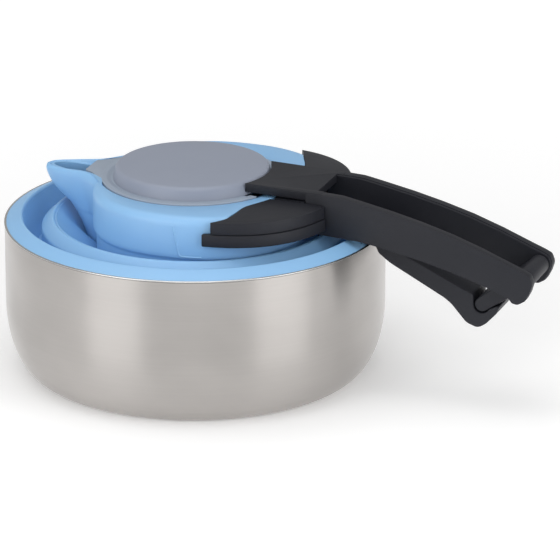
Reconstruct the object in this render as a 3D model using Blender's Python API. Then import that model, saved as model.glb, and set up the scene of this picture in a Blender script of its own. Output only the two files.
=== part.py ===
# Collapsible camp kettle, shown folded: a steel pan, silicone rings that fold into it,
# a soft top shell with a pouring beak, a lid, and a two-plate handle with a latch.
# Units are metres, +Z is up, the beak points to -X and the handle to +X.
# The origin is the centre of the pan's underside.

import math

import bmesh
import bpy
from mathutils import Matrix, Vector

mm = 0.001

# Fits between pieces
gap = 0.3 * mm
turnSteps = 56

# Steel pan
panRadius = 91.0 * mm
panHeight = 73.3 * mm
panWall = 0.9 * mm
panCornerDepth = 16.5 * mm
panCornerHeight = 35.6 * mm
rimTrimHeight = 0.9 * mm
rimTrimWidth = 1.5 * mm

# Silicone rings: each is set in from the one outside it, and stands above the pan's rim
flangeWidth = 7.7 * mm
flangeInner = panRadius - flangeWidth
flangeRise = 4.3 * mm
flangeSkirt = 9.5 * mm
flangeThick = 2.6 * mm
clampThick = 0.6 * mm
clampHeight = 6.0 * mm
ringSpace = 9.5 * mm
ringOuter = flangeInner - ringSpace
ringDrop = 2.9 * mm
ringWidth = 5.8 * mm
ringInner = ringOuter - ringWidth
ringRise = 2.8 * mm
ringThick = 3.0 * mm
ringFlare = 4.1 * mm
foldDepth = 16.0 * mm
foldThick = 1.2 * mm

# Top shell: an oval body set off towards the handle, with a beak
roundness = 2.3
neckOffset = 7.5 * mm
neckEndSpace = 15.1 * mm
neckSideSpace = 8.2 * mm
neckHalfLength = ringInner - neckEndSpace
neckHalfWidth = ringInner - neckSideSpace
neckRise = 21.8 * mm
neckTop = panHeight + neckRise
neckLip = panHeight + 1.5 * mm
neckBottom = panHeight - 14.3 * mm
neckRound = 4.0 * mm
neckStep = 1.5 * mm
neckWall = 2.6 * mm
neckDeck = 6.0 * mm
beakHalfWidth = 21.4 * mm
beakLength = 33.5 * mm
# How far out, and how wide, the beak is on its way from the root to the tip
beakFlare = [
    (0.066, 0.893),
    (0.2, 0.69),
    (0.335, 0.551),
    (0.49, 0.475),
    (0.644, 0.411),
    (0.82, 0.31),
    (0.949, 0.187),
    (0.985, 0.1),
]

# Lid
lidOffset = -1.2 * mm
lidCapRadius = 37.4 * mm
lidHoleRadius = lidCapRadius + 0.5 * mm
lidSeatRadius = lidHoleRadius + 6.1 * mm
lidSeatDepth = 2.9 * mm
lidCapRise = 6.4 * mm
lidSkirtRadius = lidHoleRadius - 4.4 * mm
lidSkirtDrop = 9.5 * mm
lidSkirtWall = 2.0 * mm

# Collar, in two layers, let into the shell's shoulder
collarOffset = 20.0 * mm
collarHalfLength = neckHalfLength + 1.5 * mm
collarHalfWidth = neckHalfWidth + 0.4 * mm
collarBottom = neckTop - 12.8 * mm
collarStep = neckTop - 6.9 * mm
collarEdgeTop = neckTop - 1.0 * mm
collarCrown = neckTop + 0.2 * mm
collarLowerTip = 25.9 * mm
collarUpperTip = 30.0 * mm
collarUpperInset = 0.7 * mm
coverSeat = 2.6 * mm
bossRadius = 3.0 * mm
screwHeadRadius = 2.8 * mm

# Handle: every place is taken from the hinge
plateOuter = 18.3 * mm
plateThick = 5.5 * mm
tongueHalfWidth = 18.0 * mm
tongueBottom = neckTop + 0.6 * mm
tongueClear = 1.5 * mm
hubRadius = 5.6 * mm
hingeX = neckOffset + neckHalfLength + hubRadius + 2.0 * mm
hingeZ = collarBottom + 3.0 * mm
hingePinRadius = 2.0 * mm
hingePinReach = 22.5 * mm
tongueTop = hingeZ + 14.4 * mm
armPivotX = hingeX + 8.5 * mm
armPivotZ = hingeZ - 1.7 * mm
armHalfWidth = 10.0 * mm
smallPinRadius = 1.8 * mm
smallPinReach = 15.4 * mm
linkPivotX = hingeX + 100.5 * mm
linkPivotZ = hingeZ - 18.0 * mm
linkBarrelRadius = 4.6 * mm
linkHalfWidth = 9.4 * mm
fingerX = hingeX + 79.0 * mm
fingerZ = hingeZ - 33.9 * mm
fingerRadius = 3.5 * mm
pocketClear = 0.9 * mm


def clearScene():
    for old in list(bpy.data.objects):
        bpy.data.objects.remove(old, do_unlink=True)
    for block in list(bpy.data.meshes):
        bpy.data.meshes.remove(block)


def makeCollection(name):
    made = bpy.data.collections.new(name)
    bpy.context.scene.collection.children.link(made)
    return made


def makeMaterial(name, colour, roughness, metallic=0.0):
    material = bpy.data.materials.new(name)
    material.use_nodes = True
    shader = material.node_tree.nodes["Principled BSDF"]
    shader.inputs["Base Color"].default_value = (*colour, 1.0)
    shader.inputs["Roughness"].default_value = roughness
    shader.inputs["Metallic"].default_value = metallic
    return material


def makeFrame(name, x=0.0, y=0.0, z=0.0, parent=None):
    empty = bpy.data.objects.new(name, None)
    empty.empty_display_size = 10 * mm
    partCollection.objects.link(empty)
    empty.location = (x, y, z)
    if parent is not None:
        empty.parent = parent
        empty.location = Vector((x, y, z)) - worldPlace(parent)
    return empty


def worldPlace(obj):
    place = Vector(obj.location)
    while obj.parent is not None:
        obj = obj.parent
        place += Vector(obj.location)
    return place


def addPiece(name, mesh, material, frame):
    """The mesh is in world places; it is moved to the frame that carries it."""
    piece = bpy.data.objects.new(name, mesh)
    mesh.name = name
    mesh.transform(Matrix.Translation(-worldPlace(frame)))
    mesh.materials.clear()
    mesh.materials.append(material)
    partCollection.objects.link(piece)
    piece.parent = frame
    return piece


def addTool(name, mesh):
    tool = bpy.data.objects.new(name, mesh)
    toolCollection.objects.link(tool)
    tool.hide_render = True
    tool.display_type = "WIRE"
    return tool


def combine(piece, tool, operation):
    """The tool's mesh is in world places, so it follows the piece's frame."""
    step = piece.modifiers.new(tool.name, "BOOLEAN")
    step.operation = operation
    step.solver = "EXACT"
    step.object = tool


def cut(piece, tool):
    combine(piece, tool, "DIFFERENCE")


def join(piece, tool):
    combine(piece, tool, "UNION")


def keep(piece, tool):
    combine(piece, tool, "INTERSECT")


def fixNormals(bm):
    bmesh.ops.recalc_face_normals(bm, faces=bm.faces)


def turnedRing(name, profile, centreX=0.0, steps=turnSteps):
    """A closed profile of (radius, height) turned about a vertical axis at centreX."""
    bm = bmesh.new()
    corners = [bm.verts.new((radius, 0.0, height)) for radius, height in profile]
    edges = [bm.edges.new((corners[i], corners[i - 1])) for i in range(len(corners))]
    spun(bm, corners + edges, steps)
    return finishTurn(bm, name, centreX)


def turnedSolid(name, profile, centreX=0.0, steps=turnSteps):
    """An open profile that starts and ends on the axis, turned about it."""
    bm = bmesh.new()
    corners = [bm.verts.new((radius, 0.0, height)) for radius, height in profile]
    edges = [bm.edges.new((corners[i], corners[i + 1])) for i in range(len(corners) - 1)]
    spun(bm, corners + edges, steps)
    return finishTurn(bm, name, centreX)


def spun(bm, geometry, steps):
    bmesh.ops.spin(
        bm,
        geom=geometry,
        axis=(0.0, 0.0, 1.0),
        cent=(0.0, 0.0, 0.0),
        steps=steps,
        angle=2 * math.pi,
        use_merge=True,
        use_duplicate=False,
    )
    bmesh.ops.remove_doubles(bm, verts=bm.verts, dist=0.00002)


def finishTurn(bm, name, centreX):
    bmesh.ops.translate(bm, verts=bm.verts, vec=(centreX, 0.0, 0.0))
    fixNormals(bm)
    mesh = bpy.data.meshes.new(name)
    bm.to_mesh(mesh)
    bm.free()
    return mesh


def prismUp(name, outline, low, high):
    """A flat outline of (x, y) raised from low to high."""
    return prism(name, [(x, y, low) for x, y in outline], (0.0, 0.0, high - low))


def prismAcross(name, outline, near, far):
    """An outline of (x, z), as seen from the side, carried from near to far along Y."""
    return prism(name, [(x, near, z) for x, z in outline], (0.0, far - near, 0.0))


def prism(name, points, direction):
    bm = bmesh.new()
    corners = [bm.verts.new(point) for point in points]
    face = bm.faces.new(corners)
    raised = bmesh.ops.extrude_face_region(bm, geom=[face])
    moved = [item for item in raised["geom"] if isinstance(item, bmesh.types.BMVert)]
    bmesh.ops.translate(bm, verts=moved, vec=direction)
    bmesh.ops.triangulate(bm, faces=[f for f in bm.faces if len(f.verts) > 4])
    fixNormals(bm)
    mesh = bpy.data.meshes.new(name)
    bm.to_mesh(mesh)
    bm.free()
    return mesh


def barrel(name, radius, near, far, x, z, steps=24):
    """A round bar along Y."""
    bm = bmesh.new()
    bmesh.ops.create_cone(
        bm,
        cap_ends=True,
        segments=steps,
        radius1=radius,
        radius2=radius,
        depth=far - near,
        matrix=Matrix.Translation((x, (near + far) / 2, z)) @ Matrix.Rotation(math.pi / 2, 4, "X"),
    )
    fixNormals(bm)
    mesh = bpy.data.meshes.new(name)
    bm.to_mesh(mesh)
    bm.free()
    return mesh


def upright(name, radius, low, high, x=0.0, y=0.0, steps=turnSteps):
    """A round bar along Z."""
    bm = bmesh.new()
    bmesh.ops.create_cone(
        bm,
        cap_ends=True,
        segments=steps,
        radius1=radius,
        radius2=radius,
        depth=high - low,
        matrix=Matrix.Translation((x, y, (low + high) / 2)),
    )
    fixNormals(bm)
    mesh = bpy.data.meshes.new(name)
    bm.to_mesh(mesh)
    bm.free()
    return mesh


def block(name, low, high):
    bm = bmesh.new()
    size = [high[i] - low[i] for i in range(3)]
    centre = [(high[i] + low[i]) / 2 for i in range(3)]
    bmesh.ops.create_cube(bm, size=1.0, matrix=Matrix.Translation(centre) @ Matrix.Diagonal((*size, 1.0)))
    fixNormals(bm)
    mesh = bpy.data.meshes.new(name)
    bm.to_mesh(mesh)
    bm.free()
    return mesh


def arcPoints(x, z, radius, start, end, steps):
    """Points on a circle, from start to end in degrees."""
    angles = [math.radians(start + (end - start) * i / steps) for i in range(steps + 1)]
    return [(x + radius * math.cos(a), z + radius * math.sin(a)) for a in angles]


def mixed(value, table):
    """A straight-line reading between the rows of a short table of (place, size)."""
    if value <= table[0][0]:
        return table[0][1]
    for (a, sizeA), (b, sizeB) in zip(table, table[1:]):
        if value <= b:
            return sizeA + (sizeB - sizeA) * (value - a) / (b - a)
    return table[-1][1]


def beakReach(z):
    """How far the beak stands out of the round body at height z."""
    keel = [
        (neckBottom, 0.34 * beakLength),
        (neckLip - 1.3 * mm, 0.52 * beakLength),
        (neckLip + 2.4 * mm, 0.62 * beakLength),
        (neckLip + 4.1 * mm, 0.7 * beakLength),
        (neckLip + 9.1 * mm, 0.866 * beakLength),
        (neckTop - 1.4 * mm, beakLength),
    ]
    return mixed(z, keel)


def ovalPoint(centreX, halfLength, halfWidth, angle):
    """A point on an oval that is a little squarer than an ellipse."""
    along = math.cos(angle)
    across = math.sin(angle)
    scale = (abs(along) ** roundness + abs(across) ** roundness) ** (-1.0 / roundness)
    return (centreX + halfLength * along * scale, halfWidth * across * scale)


def oval(centreX, halfLength, halfWidth, steps=96):
    return [ovalPoint(centreX, halfLength, halfWidth, 2 * math.pi * i / steps) for i in range(steps)]


def neckPlan(inset, reach, halfWidth, steps=60):
    """Outline of the top shell: an oval body that flares into the beak."""
    length = neckHalfLength - inset
    width = neckHalfWidth - inset
    across = halfWidth / width
    along = (1.0 - across ** roundness) ** (1.0 / roundness)
    turn = math.pi - math.atan2(across, along)
    points = []
    for i in range(steps):
        angle = -turn + 2 * turn * i / (steps - 1)
        points.append(ovalPoint(neckOffset, length, width, angle))
    rootX = neckOffset - length * along
    flare = [(rootX - reach * far, halfWidth * wide) for far, wide in beakFlare]
    return points + flare + [(rootX - reach, 0.0)] + [(x, -y) for x, y in flare[::-1]]


def lofted(name, loops):
    """A closed solid through level outlines of equal counts: [(height, outline), ...]."""
    bm = bmesh.new()
    rings = []
    for height, outline in loops:
        corners = [bm.verts.new((x, y, height)) for x, y in outline]
        edges = [bm.edges.new((corners[i], corners[i - 1])) for i in range(len(corners))]
        rings.append((corners, edges))
    for (_, lower), (_, upper) in zip(rings, rings[1:]):
        bmesh.ops.bridge_loops(bm, edges=lower + upper)
    for corners, _ in (rings[0], rings[-1]):
        bm.faces.new(corners)
    bmesh.ops.triangulate(bm, faces=[f for f in bm.faces if len(f.verts) > 4])
    fixNormals(bm)
    mesh = bpy.data.meshes.new(name)
    bm.to_mesh(mesh)
    bm.free()
    return mesh


def loftedRing(name, sections):
    """A closed ring through a loop of level outlines: the last joins the first."""
    bm = bmesh.new()
    rings = []
    for height, outline in sections:
        corners = [bm.verts.new((x, y, height)) for x, y in outline]
        edges = [bm.edges.new((corners[i], corners[i - 1])) for i in range(len(corners))]
        rings.append(edges)
    for i in range(len(rings)):
        bmesh.ops.bridge_loops(bm, edges=rings[i - 1] + rings[i])
    fixNormals(bm)
    mesh = bpy.data.meshes.new(name)
    bm.to_mesh(mesh)
    bm.free()
    return mesh


def panProfile(inset):
    """The pan's outside, or its inside at the given inset, from the rim to the axis."""
    points = [(panRadius - inset, panHeight)]
    for i in range(9):
        angle = math.pi / 2 * i / 8
        radius = panRadius - panCornerDepth + (panCornerDepth - inset) * math.cos(angle)
        height = panCornerHeight - (panCornerHeight - inset) * math.sin(angle)
        points.append((radius, height))
    points.append((0.0, inset))
    return points


def makePan():
    outside = panProfile(0.0)
    inside = panProfile(panWall)
    mesh = turnedSolid("pan_body", outside[::-1] + inside)
    addPiece("pan_body", mesh, steel, panFrame)

    low = panHeight + gap
    high = low + rimTrimHeight
    outer = panRadius + 0.3 * mm
    inner = outer - rimTrimWidth
    soft = 0.25 * mm
    profile = [
        (outer - soft, high),
        (outer, high - soft),
        (outer, low),
        (inner, low),
        (inner, high - soft),
        (inner + soft, high),
    ]
    addPiece("rim_trim", turnedRing("rim_trim", profile), rimSteel, panFrame)


def makeFlange():
    wallInner = panRadius - panWall - gap
    trimInner = panRadius + 0.3 * mm - rimTrimWidth - gap
    top = panHeight + flangeRise
    profile = [
        (flangeInner + 0.9 * mm, top - 0.1 * mm),
        (trimInner - 0.4 * mm, panHeight + gap + rimTrimHeight - 0.2 * mm),
        (trimInner, panHeight + gap + rimTrimHeight - 0.7 * mm),
        (trimInner, panHeight - flangeSkirt),
        (trimInner - flangeThick, panHeight - flangeSkirt),
        (trimInner - flangeThick, panHeight - 1.6 * mm),
        (flangeInner + flangeThick, top - flangeThick - 0.9 * mm),
        (flangeInner + 0.2 * mm, top - flangeThick - 1.6 * mm),
        (flangeInner - 0.5 * mm, top - flangeThick - 0.6 * mm),
        (flangeInner - 0.5 * mm, top - 1.1 * mm),
        (flangeInner, top - 0.3 * mm),
    ]
    addPiece("flange_ring", turnedRing("flange_ring", profile), silicone, panFrame)

    clampOuter = min(wallInner, trimInner) - flangeThick - gap
    low = panHeight - flangeSkirt + 0.4 * mm
    clamp = [
        (clampOuter, low + clampHeight),
        (clampOuter, low),
        (clampOuter - clampThick, low),
        (clampOuter - clampThick, low + clampHeight),
    ]
    addPiece("clamp_band", turnedRing("clamp_band", clamp), rimSteel, panFrame)


def foldOuterEnds():
    """Top and bottom of the outer fold's mid line."""
    top = panHeight + flangeRise - 2.4 * mm
    foot = ringOuter + ringFlare + foldThick
    return (flangeInner - 0.5 * mm - gap - foldThick / 2, top), (foot, top - foldDepth)


def makeFolds():
    (outR, outZ), (inR, inZ) = foldOuterEnds()
    half = foldThick / 2
    profile = [
        (outR + half, outZ + 0.4 * mm),
        (inR + half, inZ),
        (inR - half, inZ - 0.4 * mm),
        (outR - half, outZ),
    ]
    mesh = turnedRing("fold_outer", profile)
    addPiece("fold_outer", mesh, silicone, ringFrame)

    top = panHeight + ringRise - 2.0 * mm
    bottom = neckBottom
    ringFace = ringInner - 1.2 * mm - gap
    skirt = neckStep - gap
    reach = beakReach(bottom + 2 * foldThick)
    sections = [
        (top, circleLike(ringFace)),
        (bottom, neckPlan(skirt - foldThick, reach, beakHalfWidth + gap + foldThick)),
        (bottom + foldThick, neckPlan(skirt, reach, beakHalfWidth + gap)),
        (top + foldThick * 0.4, circleLike(ringFace - foldThick)),
    ]
    addPiece("fold_inner", loftedRing("fold_inner", sections), silicone, neckFrame)


def circleLike(radius):
    """A circle about the pan's axis whose points match the shell outline's points."""
    points = []
    for x, y in neckPlan(0.0, beakLength * 0.3, beakHalfWidth):
        angle = math.atan2(y, x - neckOffset * 0.5)
        points.append((radius * math.cos(angle), radius * math.sin(angle)))
    return points


def makeMiddleRing():
    low = foldOuterEnds()[1][1] - 0.6 * mm
    foot = foldOuterEnds()[1][0] - foldThick / 2 - gap
    ridge = panHeight - ringDrop
    top = panHeight + ringRise
    bend = low + 4.0 * mm
    profile = [
        (ringInner, top),
        (ringInner + 0.6 * mm, top - 0.25 * mm),
        (ringOuter - 0.4 * mm, ridge + 0.5 * mm),
        (ringOuter - 0.2 * mm, ridge - 0.3 * mm),
        (ringOuter - 0.3 * mm, bend),
        (foot, low),
        (foot - ringThick, low),
        (ringOuter - ringThick, bend - 1.2 * mm),
        (ringOuter - ringThick, ridge - 2.2 * mm),
        (ringInner + 0.4 * mm, top - 4.0 * mm),
        (ringInner - 1.2 * mm, top - 2.6 * mm),
        (ringInner - 1.2 * mm, top - 0.9 * mm),
        (ringInner - 0.6 * mm, top - 0.2 * mm),
    ]
    addPiece("middle_ring", turnedRing("middle_ring", profile), silicone, ringFrame)


def neckLoops(inset):
    """Heights and outlines of the top shell, drawn in by inset."""
    low = neckLip + 2.4 * mm
    middle = neckLip + 9.1 * mm
    shoulder = neckTop - neckRound - 0.1 * mm
    rows = [
        (neckBottom, neckStep, beakReach(neckBottom)),
        (neckLip - 0.8 * mm, neckStep, beakReach(neckLip)),
        (neckLip, 0.0, beakReach(neckLip + 0.8 * mm) - neckStep),
        (low, 0.0, beakReach(low)),
        (middle, 0.0, beakReach(middle)),
        (shoulder, 0.0, beakReach(shoulder)),
        (neckTop - 2.0 * mm, 0.14 * neckRound, beakLength),
        (neckTop - 0.8 * mm, 0.4 * neckRound, beakLength + 1.2 * mm),
        (neckTop, neckRound, beakLength + 1.8 * mm),
    ]
    loops = []
    for z, drawn, reach in rows:
        half = beakHalfWidth - 0.8 * (drawn if z > shoulder else 0.0) - 0.8 * inset
        loops.append((z, neckPlan(drawn + inset, reach - inset * 0.5, half)))
    return loops


def makeNeck():
    shell = addPiece("neck_shell", lofted("neck_shell", neckLoops(0.0)), silicone, neckFrame)

    inside = neckLoops(neckWall)
    ceiling = neckTop - neckDeck
    rows = [(neckBottom - 5 * mm, inside[0][1]), (neckBottom + 1 * mm, inside[0][1])]
    rows = rows + inside[1:5] + [(ceiling, inside[5][1])]
    cut(shell, addTool("neck_hollow", lofted("neck_hollow", rows)))

    hole = upright("lid_hole", lidHoleRadius, ceiling - 5 * mm, neckTop + 5 * mm, lidOffset)
    cut(shell, addTool("lid_hole", hole))

    seatFloor = neckTop - lidSeatDepth
    seatMesh = upright("lid_seat", lidSeatRadius, seatFloor, neckTop + 5 * mm, lidOffset)
    seat = addTool("lid_seat", seatMesh)
    cut(seat, addTool("seat_shelf", shelfMesh("seat_shelf", 0.0)))
    cut(shell, seat)

    channel = [(x - 0.5 * mm, y + 0.5 * mm) for x, y in lidTongueSide()]
    channel = channel + [
        (-64.0 * mm, 6.2 * mm),
        (-71.0 * mm, 4.0 * mm),
        (-73.4 * mm, 1.6 * mm),
    ]
    top = prismUp("beak_channel", bothSides(channel), ceiling - 2.0 * mm, neckTop + 5 * mm)
    cut(shell, addTool("beak_channel", top))

    rebate = prismUp("cover_seat", collarPlan(0.0), neckTop - coverSeat, neckTop + 5 * mm)
    seatTool = addTool("cover_seat", rebate)
    cut(seatTool, addTool("seat_edge", coverFront("seat_edge", gap)))
    cut(shell, seatTool)


def bothSides(half):
    """A symmetric outline from its half at positive y."""
    return half + [(x, -y) for x, y in half[::-1]]


def lidTongueSide():
    """Half of the lid's tongue, which covers the root of the beak."""
    return [
        (-30.0 * mm, 24.0 * mm),
        (-38.4 * mm, 22.4 * mm),
        (-40.1 * mm, 20.9 * mm),
        (-43.9 * mm, 16.1 * mm),
        (-48.4 * mm, 10.9 * mm),
        (-53.3 * mm, 7.2 * mm),
    ]


def collarPlan(inset):
    return oval(collarOffset, collarHalfLength - inset, collarHalfWidth - inset)


def coverFront(name, clear):
    """All that lies in front of the collar's upper layer."""
    edge = [
        (collarUpperTip, 80.0 * mm),
        (collarUpperTip, 58.8 * mm),
        (32.8 * mm, 55.6 * mm),
        (35.5 * mm, 52.0 * mm),
        (37.0 * mm, 45.0 * mm),
        (37.9 * mm, 36.0 * mm),
        (40.0 * mm, 30.7 * mm),
        (42.4 * mm, 26.2 * mm),
        (46.0 * mm, 18.0 * mm),
        (47.0 * mm, 9.0 * mm),
    ]
    outline = bothSides([(x - clear, y) for x, y in edge])
    back = [(-60.0 * mm, -80.0 * mm), (-60.0 * mm, 80.0 * mm)]
    return prismUp(name, outline + back, 60 * mm, 120 * mm)


def shelfMesh(name, clear):
    """The part of the shell that fills the lid's notch under the handle's tongue."""
    wide = tongueHalfWidth + 0.4 * mm + clear
    return block(name, (31.7 * mm - clear, -wide, 85 * mm), (60 * mm, wide, 120 * mm))


def makeSeatPlate():
    """A hard crescent inside the shell, under its deck, that takes the screws."""
    low = neckTop - neckDeck - gap - 3.0 * mm
    high = low + 3.0 * mm
    inset = neckWall + gap
    outline = oval(neckOffset, neckHalfLength - inset, neckHalfWidth - inset, turnSteps)
    plate = addPiece("seat_plate", prismUp("seat_plate", outline, low, high), hardBlack, neckFrame)
    inner = upright("seat_hole", lidHoleRadius + 2.0 * mm, low - 5 * mm, high + 5 * mm, lidOffset)
    cut(plate, addTool("seat_hole", inner))
    cut(plate, addTool("seat_front", block("seat_front", (-80 * mm, -80 * mm, 50 * mm), (16 * mm, 80 * mm, 120 * mm))))


def makeLid():
    floor = neckTop - lidSeatDepth + gap
    top = neckTop + 0.1 * mm
    rim = lidSeatRadius - 0.4 * mm
    bedFloor = top - 0.5 * mm
    base = turnedSolid(
        "lid_base",
        [
            (0.0, floor),
            (rim, floor),
            (rim, top - 0.4 * mm),
            (rim - 0.5 * mm, top),
            (lidCapRadius + 1.0 * mm, top),
            (lidCapRadius + 0.5 * mm, bedFloor),
            (0.0, bedFloor),
        ],
        lidOffset,
    )
    lid = addPiece("lid_base", base, lidGrey, lidFrame)
    tongueTool = addTool("lid_tongue", prismUp("lid_tongue", bothSides(lidTongueSide()), floor, top))
    bed = upright("cap_bed", lidCapRadius + 0.5 * mm, bedFloor, top + 5 * mm, lidOffset)
    cut(tongueTool, addTool("cap_bed", bed))
    join(lid, tongueTool)
    cut(lid, addTool("lid_notch", shelfMesh("lid_notch", 0.3 * mm)))

    capFloor = bedFloor + gap
    capTop = neckTop + lidCapRise
    cap = turnedSolid(
        "lid_cap",
        [
            (0.0, capFloor),
            (lidCapRadius, capFloor),
            (lidCapRadius, capTop - 3.2 * mm),
            (lidCapRadius - 0.4 * mm, capTop - 1.9 * mm),
            (lidCapRadius - 1.0 * mm, capTop - 0.9 * mm),
            (lidCapRadius - 2.1 * mm, capTop - 0.3 * mm),
            (lidCapRadius - 4.0 * mm, capTop),
            (18.0 * mm, capTop + 0.4 * mm),
            (0.0, capTop + 0.6 * mm),
        ],
        lidOffset,
    )
    addPiece("lid_cap", cap, capGrey, lidFrame)

    skirtTop = floor - gap
    skirtLow = skirtTop - lidSkirtDrop
    outer = lidSkirtRadius
    inner = outer - lidSkirtWall
    skirt = [
        (outer, skirtTop),
        (outer, skirtLow + 3.2 * mm),
        (outer - 1.0 * mm, skirtLow + 3.2 * mm),
        (outer - 1.0 * mm, skirtLow + 0.8 * mm),
        (outer, skirtLow + 0.8 * mm),
        (outer, skirtLow),
        (inner - 1.0 * mm, skirtLow),
        (inner - 1.0 * mm, skirtTop),
    ]
    addPiece("lid_skirt", turnedRing("lid_skirt", skirt, lidOffset), lidGrey, lidFrame)
    sealOuter = lidHoleRadius - gap
    seal = [
        (sealOuter - 0.4 * mm, skirtLow + 2.9 * mm),
        (sealOuter, skirtLow + 2.4 * mm),
        (sealOuter, skirtLow + 1.6 * mm),
        (sealOuter - 0.4 * mm, skirtLow + 1.1 * mm),
        (outer - 0.7 * mm, skirtLow + 1.1 * mm),
        (outer - 0.7 * mm, skirtLow + 2.9 * mm),
    ]
    addPiece("lid_seal", turnedRing("lid_seal", seal, lidOffset), sealGrey, lidFrame)


def neckClearance(name):
    """The top shell's outside, grown by the fit, up to the floor that the cover lies on."""
    floor = neckTop - coverSeat
    grown = [row for row in neckLoops(-gap) if row[0] < floor]
    grown.append((floor + gap, grown[-1][1]))
    return addTool(name, lofted(name, grown))


def slotTool(name):
    wide = plateOuter + 0.6 * mm
    back = hingeX - hubRadius - 0.4 * mm
    return addTool(name, block(name, (back, -wide, 60 * mm), (back + 40 * mm, wide, 120 * mm)))


def makeCollar():
    flat = [(collarBottom, collarPlan(0.0)), (collarStep, collarPlan(0.0))]
    lower = addPiece("collar_lower", lofted("collar_lower", flat), hardBlack, neckFrame)
    cut(lower, neckClearance("shell_under_collar"))
    lowerFront = block("lower_front", (-60 * mm, -80 * mm, 60 * mm), (collarLowerTip, 80 * mm, 120 * mm))
    cut(lower, addTool("lower_front", lowerFront))
    cut(lower, slotTool("lower_slot"))

    edge = collarUpperInset
    domed = [
        (collarStep + gap, collarPlan(edge)),
        (collarEdgeTop - 0.3 * mm, collarPlan(edge)),
        (collarEdgeTop, collarPlan(edge + 0.5 * mm)),
        (collarCrown - 0.4 * mm, collarPlan(10.0 * mm)),
        (collarCrown, collarPlan(20.0 * mm)),
    ]
    upper = addPiece("collar_upper", lofted("collar_upper", domed), hardBlack, neckFrame)
    cut(upper, neckClearance("shell_under_cover"))
    cut(upper, addTool("upper_front", coverFront("upper_front", 0.0)))
    cut(upper, slotTool("upper_slot"))

    bore = barrel("hinge_bore", hingePinRadius + gap, -hingePinReach - gap, hingePinReach + gap, hingeX, hingeZ)
    cut(lower, addTool("hinge_bore", bore))

    for index, (x, y) in enumerate(screwPlaces()):
        makeScrew(index + 1, x, y, upper)


def screwPlaces():
    near = (48.0 * mm, 23.5 * mm)
    wide = (44.5 * mm, 33.5 * mm)
    return [(x, side * y) for x, y in (near, wide) for side in (-1, 1)]


def makeScrew(number, x, y, upper):
    """A screw from below: head under the seat plate, shank up into the cover's boss."""
    plateLow = neckTop - neckDeck - gap - 3.0 * mm
    headTop = plateLow - gap
    shank = 1.5 * mm
    tip = neckTop - 1.2 * mm
    profile = [
        (0.0, headTop - 1.8 * mm),
        (screwHeadRadius, headTop - 1.8 * mm),
        (screwHeadRadius, headTop),
        (shank, headTop),
        (shank, tip),
        (0.0, tip),
    ]
    name = "collar_screw_%d" % number
    mesh = turnedSolid(name, profile, x, 16)
    mesh.transform(Matrix.Translation((0.0, y, 0.0)))
    addPiece(name, mesh, rimSteel, neckFrame)
    clear = upright("screw_way_%d" % number, shank + gap, headTop - 1 * mm, tip + gap, x, y, 16)
    tool = addTool("screw_way_%d" % number, clear)
    bossLow = neckTop - neckDeck
    bossHigh = neckTop - 0.5 * mm
    join(upper, addTool("boss_%d" % number, upright("boss_%d" % number, bossRadius, bossLow, bossHigh, x, y, 24)))
    way = upright("boss_way_%d" % number, bossRadius + gap, bossLow - 1 * mm, bossHigh, x, y, 24)
    cut(bpy.data.objects["neck_shell"], addTool("boss_way_%d" % number, way))
    for piece in (bpy.data.objects["seat_plate"], upper):
        cut(piece, tool)


def fromHinge(points):
    """Side-view points, written in millimetres from the hinge's axis."""
    return [(hingeX + x * mm, hingeZ + z * mm) for x, z in points]


def plateOutline():
    """Side view of a handle plate, from the deck round the end and back."""
    top = [(-5.6, 14.3), (2.0, 14.35), (11.6, 13.9), (21.5, 11.9), (36.4, 8.9)]
    slope = [(51.2, 5.3), (65.9, 1.1), (80.7, -3.9), (88.0, -6.9), (95.4, -9.7)]
    end = [(101.0, -12.1), (104.2, -13.7), (105.8, -15.7), (106.2, -18.1), (105.5, -20.7)]
    toe = [(104.5, -23.7), (102.8, -26.3), (100.2, -28.2), (97.4, -28.4), (95.1, -26.9)]
    under = [(93.6, -25.6), (88.3, -23.7), (80.9, -20.8), (66.1, -16.3), (51.3, -12.5)]
    back = [(36.5, -9.4), (21.6, -6.7), (15.2, -6.4)]
    hub = arcPoints(hingeX, hingeZ, hubRadius, -80.0, -180.0, 6)
    return fromHinge(top + slope + end + toe + under + back) + hub


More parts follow.
